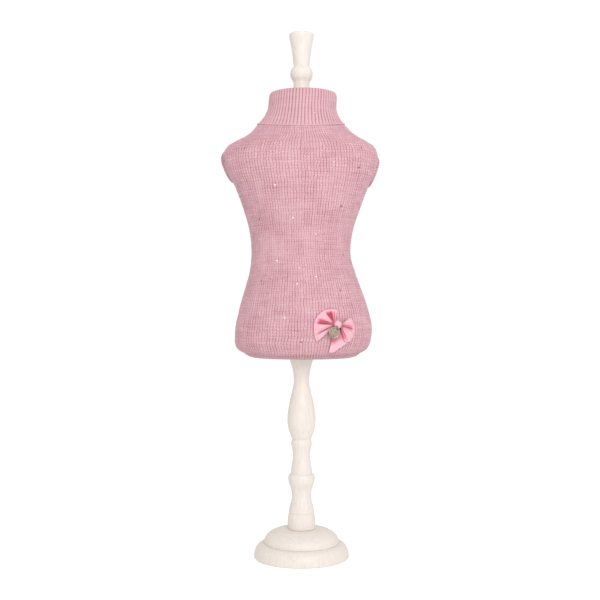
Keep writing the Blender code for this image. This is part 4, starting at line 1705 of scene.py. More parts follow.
@dataclass
class Bow:
    """A satin ribbon bow, sewn down by its knot, in millimetres.

    Attributes:
        finish: The satin.
        knot_side: How far right of the middle the knot lies.
        knot_height: How high it lies.
        level_from: Below this height the cloth under the bow counts as level.
        lift: How far the ribbon's back layer lies off the cloth.
        ribbon: How thick the ribbon is.
        top: How high the front layer's middle lies at the fold.
        inner_radius: How near the knot the loops start.
        gather: How high the fine gathers between the pleats stand, how many go round a full turn, and how
            much painted shade darkens their hollows.
        rise_span: The share of the way that a pleat takes to rise at the knot, and to fall at the fold.
        bright_from: Up to what height off the cloth a fold keeps its deepest painted shade, and over what
            height more it gets its full painted light.
        flatness: A spread ribbon's width for the arc at its mean reach.
        columns: Lines of points across a loop.
        steps: Points from the knot to the fold.
        left_base: Where the left loop fans out from, right and up from the knot.
        left: The left loop's pleats.
        right_base: Where the right loop fans out from.
        right: The right loop's pleats.
        right_lift: How far its back layer lies off the cloth, over the tail.
        tail_base: Where the tail fans out from.
        tail: The tail's waves.
        knot_sizes: Half the knot's width, height and thickness.
        knot_lift: How far its middle lies off the cloth.
        knot_tilt: How far it is turned, in degrees.
    """

    finish: Finish
    knot_side: float = 33.4
    knot_height: float = 233.2
    level_from: float = 216.0
    lift: float = 0.4
    ribbon: float = 0.45
    top: float = 2.8
    inner_radius: float = 1.3
    gather: Triple = (0.42, 26.0, 0.62)
    rise_span: Pair = (0.42, 0.26)
    bright_from: Pair = (1.35, 2.0)
    flatness: float = 0.6
    columns: int = 96
    steps: int = 26
    left_base: Pair = (-2.8, -0.5)
    left: tuple[Pleat, ...] = (
        Pleat(80, 14.2, -0.2), Pleat(90, 14.6, -0.3), Pleat(100, 15.1, -0.8), Pleat(109, 15.6, -1.45),
        Pleat(118, 16.2, -1.4), Pleat(127, 16.9, -0.7), Pleat(136, 17.4, 0.9), Pleat(147, 18.0, 2.2),
        Pleat(158, 18.7, -0.1), Pleat(166, 19.2, -1.3), Pleat(174, 19.6, -1.0), Pleat(182, 20.0, 1.6),
        Pleat(190, 20.3, 3.0), Pleat(198, 20.9, 1.5), Pleat(206, 21.6, -0.6), Pleat(213, 22.4, 0.2),
        Pleat(222, 23.4, 1.0),
    )
    right_base: Pair = (2.6, -1.0)
    right: tuple[Pleat, ...] = (
        Pleat(-74, 14.2, -0.9), Pleat(-68, 16.7, -0.8), Pleat(-61, 18.2, -0.1), Pleat(-53, 18.6, 1.4),
        Pleat(-43, 18.2, 2.6), Pleat(-34, 17.5, 2.0), Pleat(-26, 17.0, 0.0), Pleat(-18, 16.5, -0.9),
        Pleat(-9, 15.9, -0.9), Pleat(0, 15.3, 0.9), Pleat(10, 14.8, 2.8), Pleat(22, 13.9, 2.4),
        Pleat(36, 10.8, 1.0),
    )
    right_lift: float = 0.95
    tail_base: Pair = (-2.0, -2.2)
    tail: tuple[Pleat, ...] = (
        Pleat(-104, 24.8, 0.6), Pleat(-99, 24.6, 1.1), Pleat(-94, 24.0, 1.3), Pleat(-87, 22.6, 0.6),
        Pleat(-80, 21.4, 0.1), Pleat(-74, 20.8, 0.3), Pleat(-68, 20.4, 0.1), Pleat(-58, 20.2, 0.0),
        Pleat(-48, 20.6, 0.0),
    )
    knot_sizes: Triple = (4.0, 3.5, 2.5)
    knot_lift: float = 3.1
    knot_tilt: float = -28.0

    def cloth_at(self, right: float, up: float) -> tuple[Array, Array]:
        """Finds a point of the cloth, measured along it from the knot.

        Args:
            right: How far to the right.
            up: How far up.

        Returns:
            The point, and the direction out of the cloth.
        """
        height = self.knot_height + up
        place = FORM.body.place_at_height(max(height, self.level_from))
        turns = np.radians(np.linspace(0, 90, 361))
        ring = FORM.body.on(turns, np.full_like(turns, place))
        lengths = path_lengths(ring)
        start = np.interp(self.knot_side, ring[:, 0], lengths)
        turn = np.array(np.interp(start + right, lengths, turns))
        point = FORM.body.on(turn, place)
        point[2] = height
        return point, FORM.body.outward(turn, place)

    def over_cloth(self, base: Pair, direction: float, radius: float, out: float) -> Array:
        """Finds a point some way off the cloth.

        Args:
            base: Where its line starts, right and up from the knot.
            direction: The line's direction.
            radius: How far along the line it lies.
            out: How far off the cloth.

        Returns:
            The point.
        """
        right, up = base[0] + radius * math.cos(direction), base[1] + radius * math.sin(direction)
        point, outward = self.cloth_at(right, up)
        return point + outward * out

    def matrix(self, centre: Sequence[float], turned: float = 0.0) -> Matrix:
        """Finds where a hard piece goes: its X to the right, its Y up and its Z out of the cloth.

        Args:
            centre: Its middle, right, up and out from the knot's place on the cloth, in millimetres.
            turned: How far it is turned anticlockwise, in degrees.

        Returns:
            Its matrix, which turns millimetres to metres in its place alone.
        """
        middle, outward = self.cloth_at(0.0, 0.0)
        out = Vector((outward[0], outward[1], 0.0)).normalized()
        axes = Matrix((Vector((-out.y, out.x, 0.0)), Vector((0.0, 0.0, 1.0)), out)).transposed()
        place = Vector(middle) + axes @ Vector(centre)
        turn = Matrix.Rotation(math.radians(turned), 4, "Z")
        return Matrix.Translation(place * MM) @ axes.to_4x4() @ turn

    def loop_path(
        self, lift: float, direction: float, reach: float, rise: float
    ) -> tuple[Array, Array, Array]:
        """Goes from the knot along the front layer, round the fold and back on the cloth.

        Args:
            lift: How far the back layer lies off the cloth.
            direction: The direction that it runs in.
            reach: How far the fold lies from the base.
            rise: How high the pleat stands.

        Returns:
            The radii and heights of the ribbon's outer face, those of its inner face, and how open to the
            light it is, which sets the painted shade and light in its colour.
        """
        shares = np.linspace(0, 1, self.steps)
        bend = (self.top - lift) / 2
        straight = self.inner_radius + shares * (reach - bend - self.inner_radius)
        ends = np.clip([shares / self.rise_span[0], (1 - shares) / self.rise_span[1]], 0, 1)
        front = self.top + rise * np.prod(ends**2 * (3 - 2 * ends), axis=0)
        height, count, hollow_shade = self.gather
        wave = math.sin(count * direction + 1.4 * math.sin(5 * direction)) * np.exp(-((shares / 0.7) ** 2))
        front += height * wave
        front = np.maximum(front, lift + 2.1 * self.ribbon)
        turn = np.linspace(0, math.pi, 9)[1:-1]
        back_shares = np.linspace(1, 0, self.steps // 2)
        back = self.inner_radius + back_shares * (reach - bend - self.inner_radius)
        faces = []
        for inset in (0.0, self.ribbon):
            fold = (bend - inset) * np.stack([np.sin(turn), np.cos(turn)], axis=1)
            faces.append(np.concatenate([
                np.stack([straight, front - inset], axis=1),
                fold + (reach - bend, lift + bend),
                np.stack([back, np.full_like(back, lift + inset)], axis=1),
            ]))
        # Painted shade and light for the colour: darker where the front layer stands low, near the knot and
        # in the gathers' hollows; painted light round the fold and painted shade on the back layer.
        pinch = np.clip(shares / 0.4, 0, 1)
        deep, span = self.bright_from
        lit = np.clip((front - deep) / span * (0.7 + 0.3 * pinch), 0, 1)
        lit = np.clip(lit - hollow_shade * np.maximum(-wave, 0), 0, 1)
        openness = np.concatenate([lit, np.full(len(turn), 0.95), np.full(len(back), 0.3)])
        return faces[0], faces[1], openness

    def tail_path(self, direction: float, reach: float, rise: float) -> tuple[Array, Array, Array]:
        """Goes from the knot along the tail to its cut end.

        Args:
            direction: The direction that it runs in.
            reach: How far the end lies from the base.
            rise: How high the wave stands there.

        Returns:
            What loop_path does.
        """
        shares = np.linspace(0, 1, self.steps)
        radii = self.inner_radius + shares * (reach - self.inner_radius)
        faces = [
            np.stack([radii, self.lift + rise * shares**2 + inset], axis=1) for inset in (self.ribbon, 0.0)
        ]
        # Painted shade near the knot, painted light towards the cut end.
        return faces[0], faces[1], np.interp(shares, (0, 0.55, 0.8), (0.15, 0.4, 0.95))

    def join_faces(self, name: str, outer: Array, inner: Array, openness: Array, widths: Array) -> Object:
        """Makes a stretch of ribbon from its two faces.

        Args:
            name: The piece's name.
            outer: Lines of points across the ribbon's outer face.
            inner: The same for its inner face.
            openness: How open to the light each point is, which sets its painted shade and light.
            widths: Each line's place across the ribbon.

        Returns:
            The piece.
        """
        along, across = np.meshgrid(path_lengths(outer)[0], widths)
        stitches = np.stack([across, along], axis=-1)
        cloth = ClothMesh()
        sides = (
            cloth.add_grid(outer, stitches, (0.01, 0.52, 0.99, 0.99)),
            cloth.add_grid(inner, stitches, (0.01, 0.05, 0.99, 0.48), flip=True),
        )
        edge, other = (
            [*map(int, (*ids[0, :-1], *ids[:-1, -1], *ids[-1, :0:-1], *ids[:0:-1, 0], ids[0, 0]))]
            for ids in sides
        )
        count = len(edge) - 1
        faces = [[edge[k + 1], edge[k], other[k], other[k + 1]] for k in range(count)]
        bakes = np.array([
            (((k + 1) / count, 0), (k / count, 0), (k / count, 1), ((k + 1) / count, 1)) for k in range(count)
        ])
        cloth.add_faces(faces, bakes.reshape(-1, 2) * (0.98, 0.03) + 0.01)
        piece = cloth.to_object(name)
        # The inner face gets painted shade, darker than the outer face.
        inside = 0.25 + openness * 0.35
        set_attribute(piece.data, "openness", np.concatenate([openness.ravel(), inside.ravel()]))
        for label in ("rise", "wale", "course"):
            piece.data.attributes.remove(piece.data.attributes[label])
        piece.data.set_sharp_from_angle(angle=math.radians(70))
        piece.data.materials.append(self.finish.material)
        return piece

    def build_ribbon(
        self, name: str, base: Pair, pleats: Sequence[Pleat], path: Callable, columns: int
    ) -> None:
        """Makes a stretch of ribbon that fans out from near the knot.

        Args:
            name: The name of the piece, less its beginning.
            base: Where it fans out from.
            pleats: Its pleats.
            path: What gives the way along it from a direction, a reach and a rise.
            columns: Lines of points across it.
        """
        table = np.array(pleats, float)
        directions = np.linspace(table[0, 0], table[-1, 0], columns)
        shape = smooth_through(table[:, 0], table[:, 1:], directions)
        directions = np.radians(directions)
        lines = [path(direction, *line) for direction, line in zip(directions, shape)]
        outer, inner = (
            np.array([
                [self.over_cloth(base, direction, radius, height) for radius, height in line[face]]
                for direction, line in zip(directions, lines)
            ])
            for face in (0, 1)
        )
        openness = np.array([line[2] for line in lines])
        widths = directions * table[:, 1].mean() * self.flatness
        piece = self.join_faces(f"satin_{name}", outer, inner, openness, widths)
        settle(piece, Slot.SATIN, name)

    def build_knot(self) -> None:
        """Makes the wrap over the pinch: a ball with soft wraps of ribbon round it."""
        bm = bmesh.new()
        bmesh.ops.create_uvsphere(bm, u_segments=48, v_segments=32, radius=1.0)
        for vertex in bm.verts:
            wraps = math.sin(7.5 * vertex.co.x + 1.8 * vertex.co.y)
            boxy = [math.copysign(abs(part) ** 0.78, part) for part in vertex.co[:2]]
            vertex.co = Vector((*boxy, vertex.co.z * 0.9)) * (1.0 + 0.06 * wraps * (1 - vertex.co.x**2))
        bm.transform(
            self.matrix((0.0, 0.0, self.knot_lift), self.knot_tilt)
            @ Matrix.Diagonal((*(size * MM for size in self.knot_sizes), 1.0))
        )
        mesh = bpy.data.meshes.new("satin_bow_knot")
        bm.to_mesh(mesh)
        # Painted light and shade: each point is lighter or darker by which way it faces.
        lit = [0.62 + 0.3 * vertex.normal.z - 0.2 * abs(vertex.normal.x) for vertex in bm.verts]
        set_attribute(mesh, "openness", lit)
        bm.free()
        mesh.shade_smooth()
        mesh.materials.append(self.finish.material)
        settle(add_object("satin_bow_knot", mesh), Slot.SATIN, "bow_knot")

    def build(self) -> None:
        """Makes the whole bow."""
        loops = (
            ("left", self.left_base, self.left, self.lift),
            ("right", self.right_base, self.right, self.right_lift),
        )
        for side, base, pleats, lift in loops:
            path = partial(self.loop_path, lift)
            self.build_ribbon(f"bow_loop_{side}", base, pleats, path, self.columns)
        path, columns = self.tail_path, self.columns // 3
        self.build_ribbon("bow_tail", self.tail_base, self.tail, path, columns)
        self.build_knot()


@dataclass
class Charm:
    """A round metal charm on a wire ring, in millimetres.

    Attributes:
        bow: The bow that it hangs on.
        finish: The metal.
        hole: Where its hole lies, right, up and out from the knot's place on the cloth.
        hangs: The direction it hangs in, in degrees.
        hole_to_centre: How far its middle lies from its hole.
        hole_radius: The hole's radius.
        profile: Its front face from the middle out, as radius and height.
        rim_beads: How many beads its rim has.
        bead: A bead's radius.
        bead_ring: How far the beads lie from the middle, and how high.
        ring_radius: The wire ring's radius.
        ring_wire: The wire's radius.
        ring_towards: The direction of the ring from the hole, in degrees.
    """

    bow: Bow
    finish: Finish
    hole: Triple = (-2.3, -4.5, 6.6)
    hangs: float = 232.0
    hole_to_centre: float = 4.2
    hole_radius: float = 0.9
    profile: tuple[Pair, ...] = (
        (0.0, 0.44), (2.4, 0.42), (4.0, 0.34), (4.25, 0.4), (4.45, 0.54), (4.7, 0.6), (5.2, 0.58),
        (5.48, 0.42), (5.6, 0.15),
    )
    rim_beads: int = 34
    bead: float = 0.24
    bead_ring: Pair = (4.05, 0.34)
    ring_radius: float = 1.6
    ring_wire: float = 0.35
    ring_towards: float = 84.0

    def build_disc(self) -> None:
        """Turns the disc and drills its hole."""
        outline = [*self.profile, *((radius, -height) for radius, height in reversed(self.profile))]
        disc = turned("charm_disc", outline, 64)
        disc.data.transform(Matrix.Translation((self.hole_to_centre * MM, 0.0, 0.0)))
        bm = bmesh.new()
        radius = self.hole_radius * MM
        bmesh.ops.create_cone(
            bm, cap_ends=True, segments=32, radius1=radius, radius2=radius, depth=4 * MM
        )
        drill = add_object("drill", bpy.data.meshes.new("drill"))
        bm.to_mesh(drill.data)
        bm.free()
        hole = disc.modifiers.new("hole", "BOOLEAN")
        hole.object = drill
        plain_copy(disc)
        bpy.data.objects.remove(drill)
        disc.data.transform(self.bow.matrix(self.hole, self.hangs))
        disc.data.set_sharp_from_angle(angle=math.radians(38))
        disc.data.materials.clear()
        disc.data.materials.append(self.finish.material)
        settle(disc, Slot.SILVER, "charm", body=Body.CHARM)

    def build_beads(self) -> None:
        """Sets the beads round both faces' rims."""
        tree, entry = new_tree("bead_rim", {"Bead": self.bead * MM})
        size = {"Radius": entry.outputs["Bead"], "Subdivisions": 2}
        bead = add_node(tree, "GeometryNodeMeshIcoSphere", size)
        rim = add_node(tree, "GeometryNodeInstanceOnPoints", {"Points": entry, "Instance": bead})
        close_tree(tree, add_node(tree, "GeometryNodeSetShadeSmooth", {0: rim}), entry)
        radius, height = self.bead_ring
        places = [
            (self.hole_to_centre + radius * math.cos(angle), radius * math.sin(angle), face * height)
            for face in (1, -1)
            for angle in np.arange(self.rim_beads) * math.tau / self.rim_beads
        ]
        clear = [p for p in places if math.hypot(p[0], p[1]) > self.hole_radius + self.bead]
        piece = add_mesh("charm_beads", clear)
        piece.data.transform(self.bow.matrix(self.hole, self.hangs))
        run_tree(piece, tree, {"Material": self.finish.material})
        settle(piece, Slot.SILVER, body=Body.CHARM)

    def build_ring(self) -> None:
        """Bends the wire ring through the hole."""
        round_wire, round_ring = 14, 56
        around, across = np.meshgrid(
            np.arange(round_ring) * math.tau / round_ring, np.arange(round_wire) * math.tau / round_wire,
            indexing="ij",
        )
        reach = self.ring_radius + self.ring_wire * np.cos(across)
        x = self.ring_radius + reach * np.cos(around)
        points = np.stack([x, self.ring_wire * np.sin(across), reach * np.sin(around)], axis=-1)
        faces = number_faces(grid_faces(round_ring, round_wire, True, True), round_ring, round_wire)
        piece = add_mesh("wire_ring", points, faces=faces, finish=self.finish.material)
        mesh = piece.data
        mesh.transform(self.bow.matrix(self.hole, self.ring_towards))
        bm = bmesh.new()
        bm.from_mesh(mesh)
        bmesh.ops.recalc_face_normals(bm, faces=bm.faces)
        bm.to_mesh(mesh)
        bm.free()
        settle(piece, Slot.SILVER, "jump_ring")

    def build(self) -> None:
        """Makes the charm and its ring."""
        self.build_disc()
        self.build_beads()
        self.build_ring()


class Stone(NamedTuple):
    """A crystal: how far right of the middle and how high it looks from the camera, in millimetres at the
    form's axis, its width, and how bright its painted glint is from 0 to 1."""

    across: float
    height: float
    width: float
    brightness: float


@dataclass
class Rhinestones:
    """The crystals scattered over the back, in millimetres.

    Attributes:
        stones: Where they are.
        cut: How tall a stone is for its radius, and how wide its table is.
        facets: How many facets go round it.
        girdle: A stone's radius for the width that it seems to have.
        tilt: How far a stone may lean in the soft knit, in radians.
        seed: What the leaning starts from.
    """

    stones: tuple[Stone, ...] = (
        Stone(-57.0, 408.1, 2.1, 0.1), Stone(-54.6, 376.2, 2.1, 0.05), Stone(-26.7, 371.7, 2.6, 1.0),
        Stone(-8.6, 338.8, 2.4, 1.0), Stone(-42.3, 337.3, 2.2, 0.05), Stone(20.9, 322.5, 2.4, 0.3),
        Stone(14.4, 322.5, 1.9, 0.9), Stone(39.7, 350.3, 2.1, 0.05), Stone(-24.6, 295.9, 2.5, 0.95),
        Stone(29.1, 379.2, 2.1, 0.5), Stone(59.8, 408.7, 2.1, 0.1), Stone(57.4, 389.2, 2.1, 0.1),
        Stone(-6.3, 406.1, 2.2, 0.55), Stone(-77.2, 395.7, 2.0, 0.1), Stone(-34.6, 388.6, 2.0, 0.5),
        Stone(13.2, 444.1, 1.9, 0.5), Stone(-4.5, 272.7, 2.4, 0.95), Stone(-17.1, 238.5, 2.5, 1.0),
        Stone(39.2, 266.2, 2.2, 0.1), Stone(38.0, 271.5, 1.9, 0.6), Stone(-39.9, 275.7, 2.1, 0.1),
        Stone(-36.9, 208.9, 2.4, 0.2), Stone(-0.4, 214.3, 2.2, 0.15), Stone(38.5, 248.5, 2.0, 0.6),
        Stone(38.8, 236.4, 2.2, 0.4), Stone(42.1, 301.6, 2.2, 0.15), Stone(14.4, 279.8, 1.9, 0.7),
        Stone(-2.1, 288.7, 1.9, 0.7), Stone(-55.2, 259.2, 1.9, 0.6),
    )
    cut: Pair = (0.62, 0.56)
    facets: int = 8
    girdle: float = 0.42
    tilt: float = 0.16
    seed: int = 5

    def build_tree(self) -> NodeTree:
        """Builds the tree that sets a faceted stone on each point.

        Returns:
            The tree.
        """
        height, table = self.cut
        values = {"Facets": self.facets, "Tilt": self.tilt, "Seed": self.seed}
        tree, entry = new_tree("set_stones", values)
        facets, tilt, seed = (entry.outputs[label] for label in values)
        cut = {"Vertices": facets, "Radius Top": table, "Radius Bottom": 1.0, "Depth": height}
        stone = add_node(tree, "GeometryNodeMeshCone", cut)
        facing, radius = (
            add_node(tree, "GeometryNodeInputNamedAttribute", {"Name": label}, data_type=kind)
            for label, kind in (("facing", "FLOAT_VECTOR"), ("radius", "FLOAT"))
        )
        upright = add_node(tree, "FunctionNodeAlignRotationToVector", {"Vector": facing}, axis="Z")
        back = add_node(tree, "ShaderNodeMath", {0: tilt, 1: -1.0}, operation="MULTIPLY")
        lean, spin = (
            add_node(tree, "FunctionNodeRandomValue", {2: least, 3: most, "Seed": seed}).outputs[1]
            for least, most in ((back, tilt), (0.0, math.tau))
        )
        turn = {"Rotation": upright, "Rotate By": add_node(tree, "ShaderNodeCombineXYZ", {0: lean, 2: spin})}
        leaning = add_node(tree, "FunctionNodeRotateRotation", turn, rotation_space="LOCAL")
        laid = {"Points": entry, "Instance": stone, "Rotation": leaning, "Scale": radius}
        return close_tree(tree, add_node(tree, "GeometryNodeInstanceOnPoints", laid), entry)

    def build(self, camera_place: Vector, finish: Finish) -> None:
        """Drops the stones on the cloth, along the camera's lines of sight.

        Args:
            camera_place: Where the camera is, in metres.
            finish: The crystal.
        """
        eye = camera_place / MM
        places, facings, radii, stone_glints = [], [], [], []
        for stone in self.stones:
            ray = (Vector((stone.across, 0.0, stone.height)) - eye).normalized()
            tree = FORM.body_tree if stone.height < FORM.body_rings[-1].height else FORM.neck_tree
            place, normal, _, _ = tree.ray_cast(eye, ray)
            if place is None:
                continue
            places.append(place)
            facings.append(normal if normal.dot(ray) < 0 else -normal)
            radii.append(stone.width * self.girdle * MM)
            # How bright each stone's painted glint is.
            stone_glints.append(stone.brightness)
        piece = add_mesh("rhinestones", places)
        for label, values in (("facing", facings), ("radius", radii), ("brightness", stone_glints)):
            set_attribute(piece.data, label, values)
        run_tree(piece, self.build_tree(), {"Material": finish.material})
        settle(piece, Slot.STONE)


def turned(name: str, profile: Sequence[Pair], steps: int) -> Object:
    """Turns a shape on the lathe.

    Args:
        name: The piece's name.
        profile: Its radii and heights in millimetres, from the top down its outer side.
        steps: How many faces go round it.

    Returns:
        The object, with its plain mesh.
    """
    points = [(radius, 0.0, height) for radius, height in profile]
    obj = add_mesh(name, points, [(i, i + 1) for i in range(len(profile) - 1)])
    screw = obj.modifiers.new("lathe", "SCREW")
    screw.axis = "Z"
    screw.steps = screw.render_steps = steps
    screw.use_merge_vertices = True
    screw.merge_threshold = 0.000005
    screw.use_smooth_shade = True
    return plain_copy(obj)


def softened(profile: Sequence[Pair], corner: float = 33.0, between: int = 4) -> list:
    """Rounds a turned profile between its corners.

    Args:
        profile: The profile's points.
        corner: The least bend, in degrees, that stays a corner.
        between: How many steps each stretch of it gets.

    Returns:
        The finer profile.
    """
    points = np.array(profile, float)
    legs = np.diff(points, axis=0)
    headings = np.arctan2(legs[:, 1], legs[:, 0])
    bends = np.abs((np.diff(headings) + math.pi) % math.tau - math.pi)
    corners = [0, *(np.nonzero(bends > math.radians(corner))[0] + 1), len(points) - 1]
    fine = [points[:1]]
    for first, last in zip(corners, corners[1:]):
        stretch = points[first : last + 1]
        knots = path_lengths(stretch)
        if len(stretch) < 3:
            fine.append(stretch[1:])
            continue
        at = np.concatenate([np.linspace(a, b, between + 1)[1:] for a, b in zip(knots, knots[1:])])
        fine.append(smooth_through(knots, stretch, at))
    return np.concatenate(fine).tolist()


@dataclass
class DressForm:
    """The limbless torso and its turned stand, in millimetres.

    Attributes:
        jersey: The torso's finish.
        paint: The stand's finish.
        foot_rings: The torso's underside, up to where it follows the cloth.
        follows: The heights at which the torso follows the body's cloth, and the neck's.
        top: The torso's flat top.
        torso_columns: Points round the torso.
        finial: The finial's radii and heights.
        neck_cap: The neck cap's.
        column: The column's.
        plate: The foot plate's.
        dome_rim: The foot dome's rim.
        dome_centre: The centre of the dome's bend.
        dome_top: The dome's flat top.
    """

    jersey: Finish
    paint: Finish
    foot_rings: tuple[Ring, ...] = (
        Ring(202.0, 41.5, 27.0, 27.0, 0.8), Ring(202.4, 48.0, 31.5, 31.5, 0.8),
        Ring(203.8, 52.9, 35.4, 35.4, 0.7), Ring(206.2, 56.6, 38.2, 38.2, 0.6),
        Ring(209.5, 59.8, 41.1, 41.0, 0.7), Ring(213.5, 62.4, 43.8, 43.6, 0.9),
    )
    follows: tuple[Pair, Pair] = ((218.0, 431.3), (436.0, 455.0))
    top: float = 455.0
    torso_columns: int = 120
    finial: tuple[Pair, ...] = (
        (0.0, 522.8), (10.8, 522.8), (12.0, 522.1), (12.2, 520.0), (11.4, 515.5), (10.0, 508.0),
        (8.9, 500.0), (8.0, 492.5), (7.6, 489.8), (9.9, 487.2), (11.1, 483.6), (11.1, 480.6),
        (10.0, 477.4), (8.3, 474.6), (7.9, 471.0), (8.2, 466.0), (8.6, 464.5), (0.0, 464.5),
    )
    neck_cap: tuple[Pair, ...] = (
        (0.0, 464.2), (11.0, 464.0), (20.0, 462.4), (26.2, 459.4), (28.6, 457.2), (28.6, 455.3), (0.0, 455.3),
    )
    column: tuple[Pair, ...] = (
        (0.0, 201.7), (12.0, 201.7), (12.0, 198.6), (9.9, 191.0), (8.7, 186.0), (7.8, 179.0),
        (7.8, 173.5), (9.2, 166.0), (10.8, 159.5), (12.6, 151.0), (13.9, 142.0), (14.1, 136.5),
        (13.6, 130.5), (12.0, 124.5), (9.7, 118.4), (9.1, 117.4), (9.9, 116.0), (10.3, 113.0),
        (9.5, 108.6), (8.7, 103.5), (8.7, 98.5), (9.6, 93.0), (10.4, 87.0), (10.5, 83.7), (12.4, 82.4),
        (13.3, 79.4), (12.8, 75.0), (10.6, 68.0), (9.5, 61.5), (10.3, 56.0), (12.0, 50.0), (12.8, 44.9),
        (12.3, 44.3), (12.9, 43.7), (13.8, 37.0), (13.9, 32.5), (13.5, 28.6), (0.0, 28.6),
    )
    plate: tuple[Pair, ...] = (
        (0.0, 14.2), (38.6, 14.2), (40.8, 13.8), (43.4, 12.2), (45.4, 9.6), (46.7, 6.2), (47.3, 3.0),
        (47.3, 0.8), (46.6, 0.0), (0.0, 0.0),
    )
    dome_rim: Pair = (37.4, 14.5)
    dome_centre: Pair = (17.0, 15.4)
    dome_top: float = 28.3

    def dome(self) -> list[Pair]:
        """Draws the dome: flat on top, then a quarter of an ellipse down to the rim.

        Returns:
            Its radii and heights.
        """
        (across, up), (rim, foot) = self.dome_centre, self.dome_rim
        bend = [
            (across + (rim - across) * math.sin(angle), up + (self.dome_top - up) * math.cos(angle))
            for angle in np.linspace(0, math.pi / 2, 28)
        ]
        return [(0.0, self.dome_top), *bend, (rim, foot), (0.0, foot)]

    def build_torso(self) -> None:
        """Makes the torso: its own underside, then the inside of the sweater less a small gap."""
        foot = RingSurface(self.foot_rings)
        smooth_body = RingSurface(FORM.body_rings)
        turns = np.arange(self.torso_columns)[None, :] * math.tau / self.torso_columns
        inside = -(FORM.wall + FORM.form_gap)
        stretches = [(smooth_body, self.follows[0], 60), (FORM.neck, self.follows[1], 9)]
        rings = [foot.points(turns, np.linspace(0, foot.places[-1], 24)[:, None])]
        for surface, heights, rows in stretches:
            first, last = surface.place_at_height(np.array(heights))
            rings.append(surface.points(turns, np.linspace(first, last, rows)[:, None], inside))
        points = np.concatenate(rings)
        points[-1, :, 2] = self.top
        rows, columns = points.shape[:2]
        faces = number_faces(grid_faces(rows, columns, closed_columns=True), rows, columns)
        faces += [list(range(columns))[::-1], [(rows - 1) * columns + j for j in range(columns)]]
        piece = add_mesh("form_torso", points, faces=faces, finish=self.jersey.material)
        piece.data.set_sharp_from_angle(angle=math.radians(50))
        settle(piece, Slot.JERSEY, "torso")

    def build(self) -> None:
        """Makes the torso and turns the stand."""
        self.build_torso()
        profiles = {
            "finial": softened(self.finial),
            "neck_cap": softened(self.neck_cap),
            "column": softened(self.column),
            "foot_dome": self.dome(),
            "foot_plate": softened(self.plate),
        }
        for node, profile in profiles.items():
            piece = turned(f"turned_{node}", profile, 96)
            piece.data.set_sharp_from_angle(angle=math.radians(32))
            piece.data.materials.append(self.paint.material)
            settle(piece, Slot.PAINT, node)


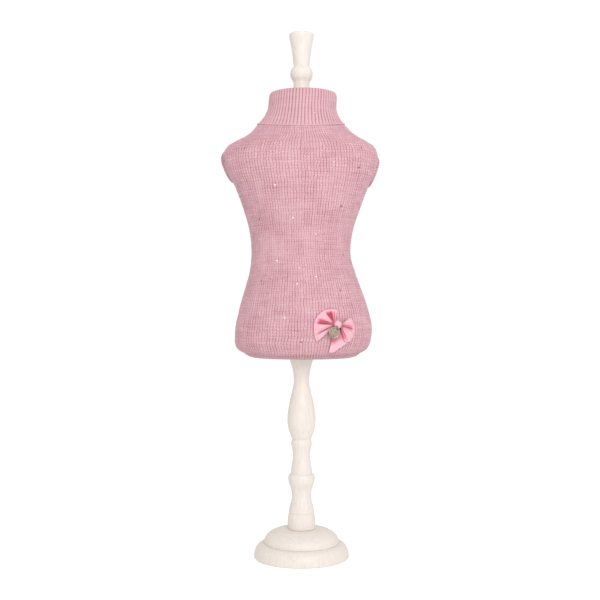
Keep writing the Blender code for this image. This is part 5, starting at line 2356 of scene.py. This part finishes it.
@dataclass
class Studio:
    """The camera, the pale floor and the soft light, in metres.

    Attributes:
        camera_place: Where the camera is. It looks level along +Y.
        lens: Its lens in millimetres, on a 36 mm sensor.
        floor_size: The floor's width.
        key_place: Where the large key light is.
        key_power: Its power in watts.
        key_size: Its width.
        key_target: What it faces.
        ambient: How bright the white room is.
    """

    camera_place: Triple = (-0.0015, -1.0, 0.2565)
    lens: float = 60.0
    floor_size: float = 30.0
    key_place: Triple = (0.52, -1.95, 1.3)
    key_power: float = 20.0
    key_size: float = 1.1
    key_target: Triple = (0.0, 0.0, 0.28)
    ambient: float = 0.72

    def build_camera(self) -> None:
        """Places the camera at the photograph's viewing angle."""
        data = bpy.data.cameras.new("camera")
        data.lens, data.sensor_width, data.clip_start = self.lens, 36.0, 0.01
        camera = add_object("camera", data)
        camera.location, camera.rotation_euler = self.camera_place, (math.pi / 2, 0.0, 0.0)
        bpy.context.scene.camera = camera

    def build_floor(self) -> None:
        """Lays the plain white floor."""
        half = self.floor_size / 2 / MM
        corners = [(-half, -half, 0), (half, -half, 0), (half, half, 0), (-half, half, 0)]
        paper = PaperFinish("matt_white_paper").material
        add_mesh("floor", corners, faces=[(0, 1, 2, 3)], finish=paper)

    def hang_key(self) -> None:
        """Hangs the key light, so that it faces the form."""
        data = bpy.data.lights.new("key", "AREA")
        data.energy, data.size, data.shape = self.key_power, self.key_size, "DISK"
        light = add_object("key", data)
        light.location = self.key_place
        way = Vector(self.key_target) - light.location
        light.rotation_euler = way.to_track_quat("-Z", "Y").to_euler()

    def build(self) -> None:
        """Makes the studio."""
        self.build_camera()
        self.build_floor()
        self.hang_key()
        world = bpy.data.worlds.new("white_room")
        bpy.context.scene.world = world
        world.use_nodes = True
        tree = world.node_tree
        tree.nodes.clear()
        seen = add_node(tree, "ShaderNodeLightPath").outputs["Is Camera Ray"]
        strength = add_node(tree, "ShaderNodeMapRange", {0: seen, 3: self.ambient, 4: 1.02})
        room = add_node(tree, "ShaderNodeBackground", {"Color": (1.0, 1.0, 1.0, 1.0), "Strength": strength})
        add_node(tree, "ShaderNodeOutputWorld", {"Surface": room})
        bpy.context.scene.view_settings.view_transform = "Standard"


def main() -> None:
    """Builds the sub-assemblies in order."""
    logging.basicConfig(level=logging.INFO, format="%(name)s: %(message)s")
    studio = Studio()
    studio.build()
    stockinette, rib = StitchRelief(Knit.STOCKINETTE), StitchRelief(Knit.RIB)
    yarn = YarnFinish("acrylic_wool_stockinette")
    ribbed = YarnFinish("acrylic_wool_rib", Knit.RIB, loop="#d3a4ad", crest="#e3b9c0")
    # A darker copy of the rib yarn: painted shade for the leg bands and the hem band, which lie in shadow.
    shaded_rib = YarnFinish("shaded_acrylic_wool_rib", Knit.RIB, gap="#91525f", loop="#c8939d", crest="#e3b9c0")
    seam = FORM.side_seam
    bands = [LegBand(relief=rib, finish=shaded_rib, opening=opening).build() for opening in LEG_OPENINGS]
    BodyPanel("knit_back_panel", "back_panel", -seam, seam, wales=73).build(stockinette, yarn, bands)
    BodyPanel("knit_belly_panel", "belly_panel", seam, 360 - seam, wales=54).build(stockinette, yarn)
    RibbedBand(
        name="knit_neck", node="neck_rib", surface=FORM.neck, ribs=66, relief=rib, finish=ribbed
    ).build()
    RibbedBand(
        name="knit_hem", node="hem_band", surface=RingSurface(FORM.hem_rings), ribs=110, wall=1.7, depth=0.55,
        relief=rib, finish=shaded_rib,
    ).build()
    NeckSeam().build(yarn)
    bow = Bow(SatinFinish("polyester_satin_ribbon"))
    bow.build()
    Charm(bow, SilverFinish("antique_silver_plate")).build()
    Rhinestones().build(Vector(studio.camera_place), CrystalFinish("foiled_glass_crystal"))
    DressForm(JerseyFinish("cream_cotton_jersey"), PaintFinish("satin_painted_beech")).build()


if __name__ == "__main__":
    main()
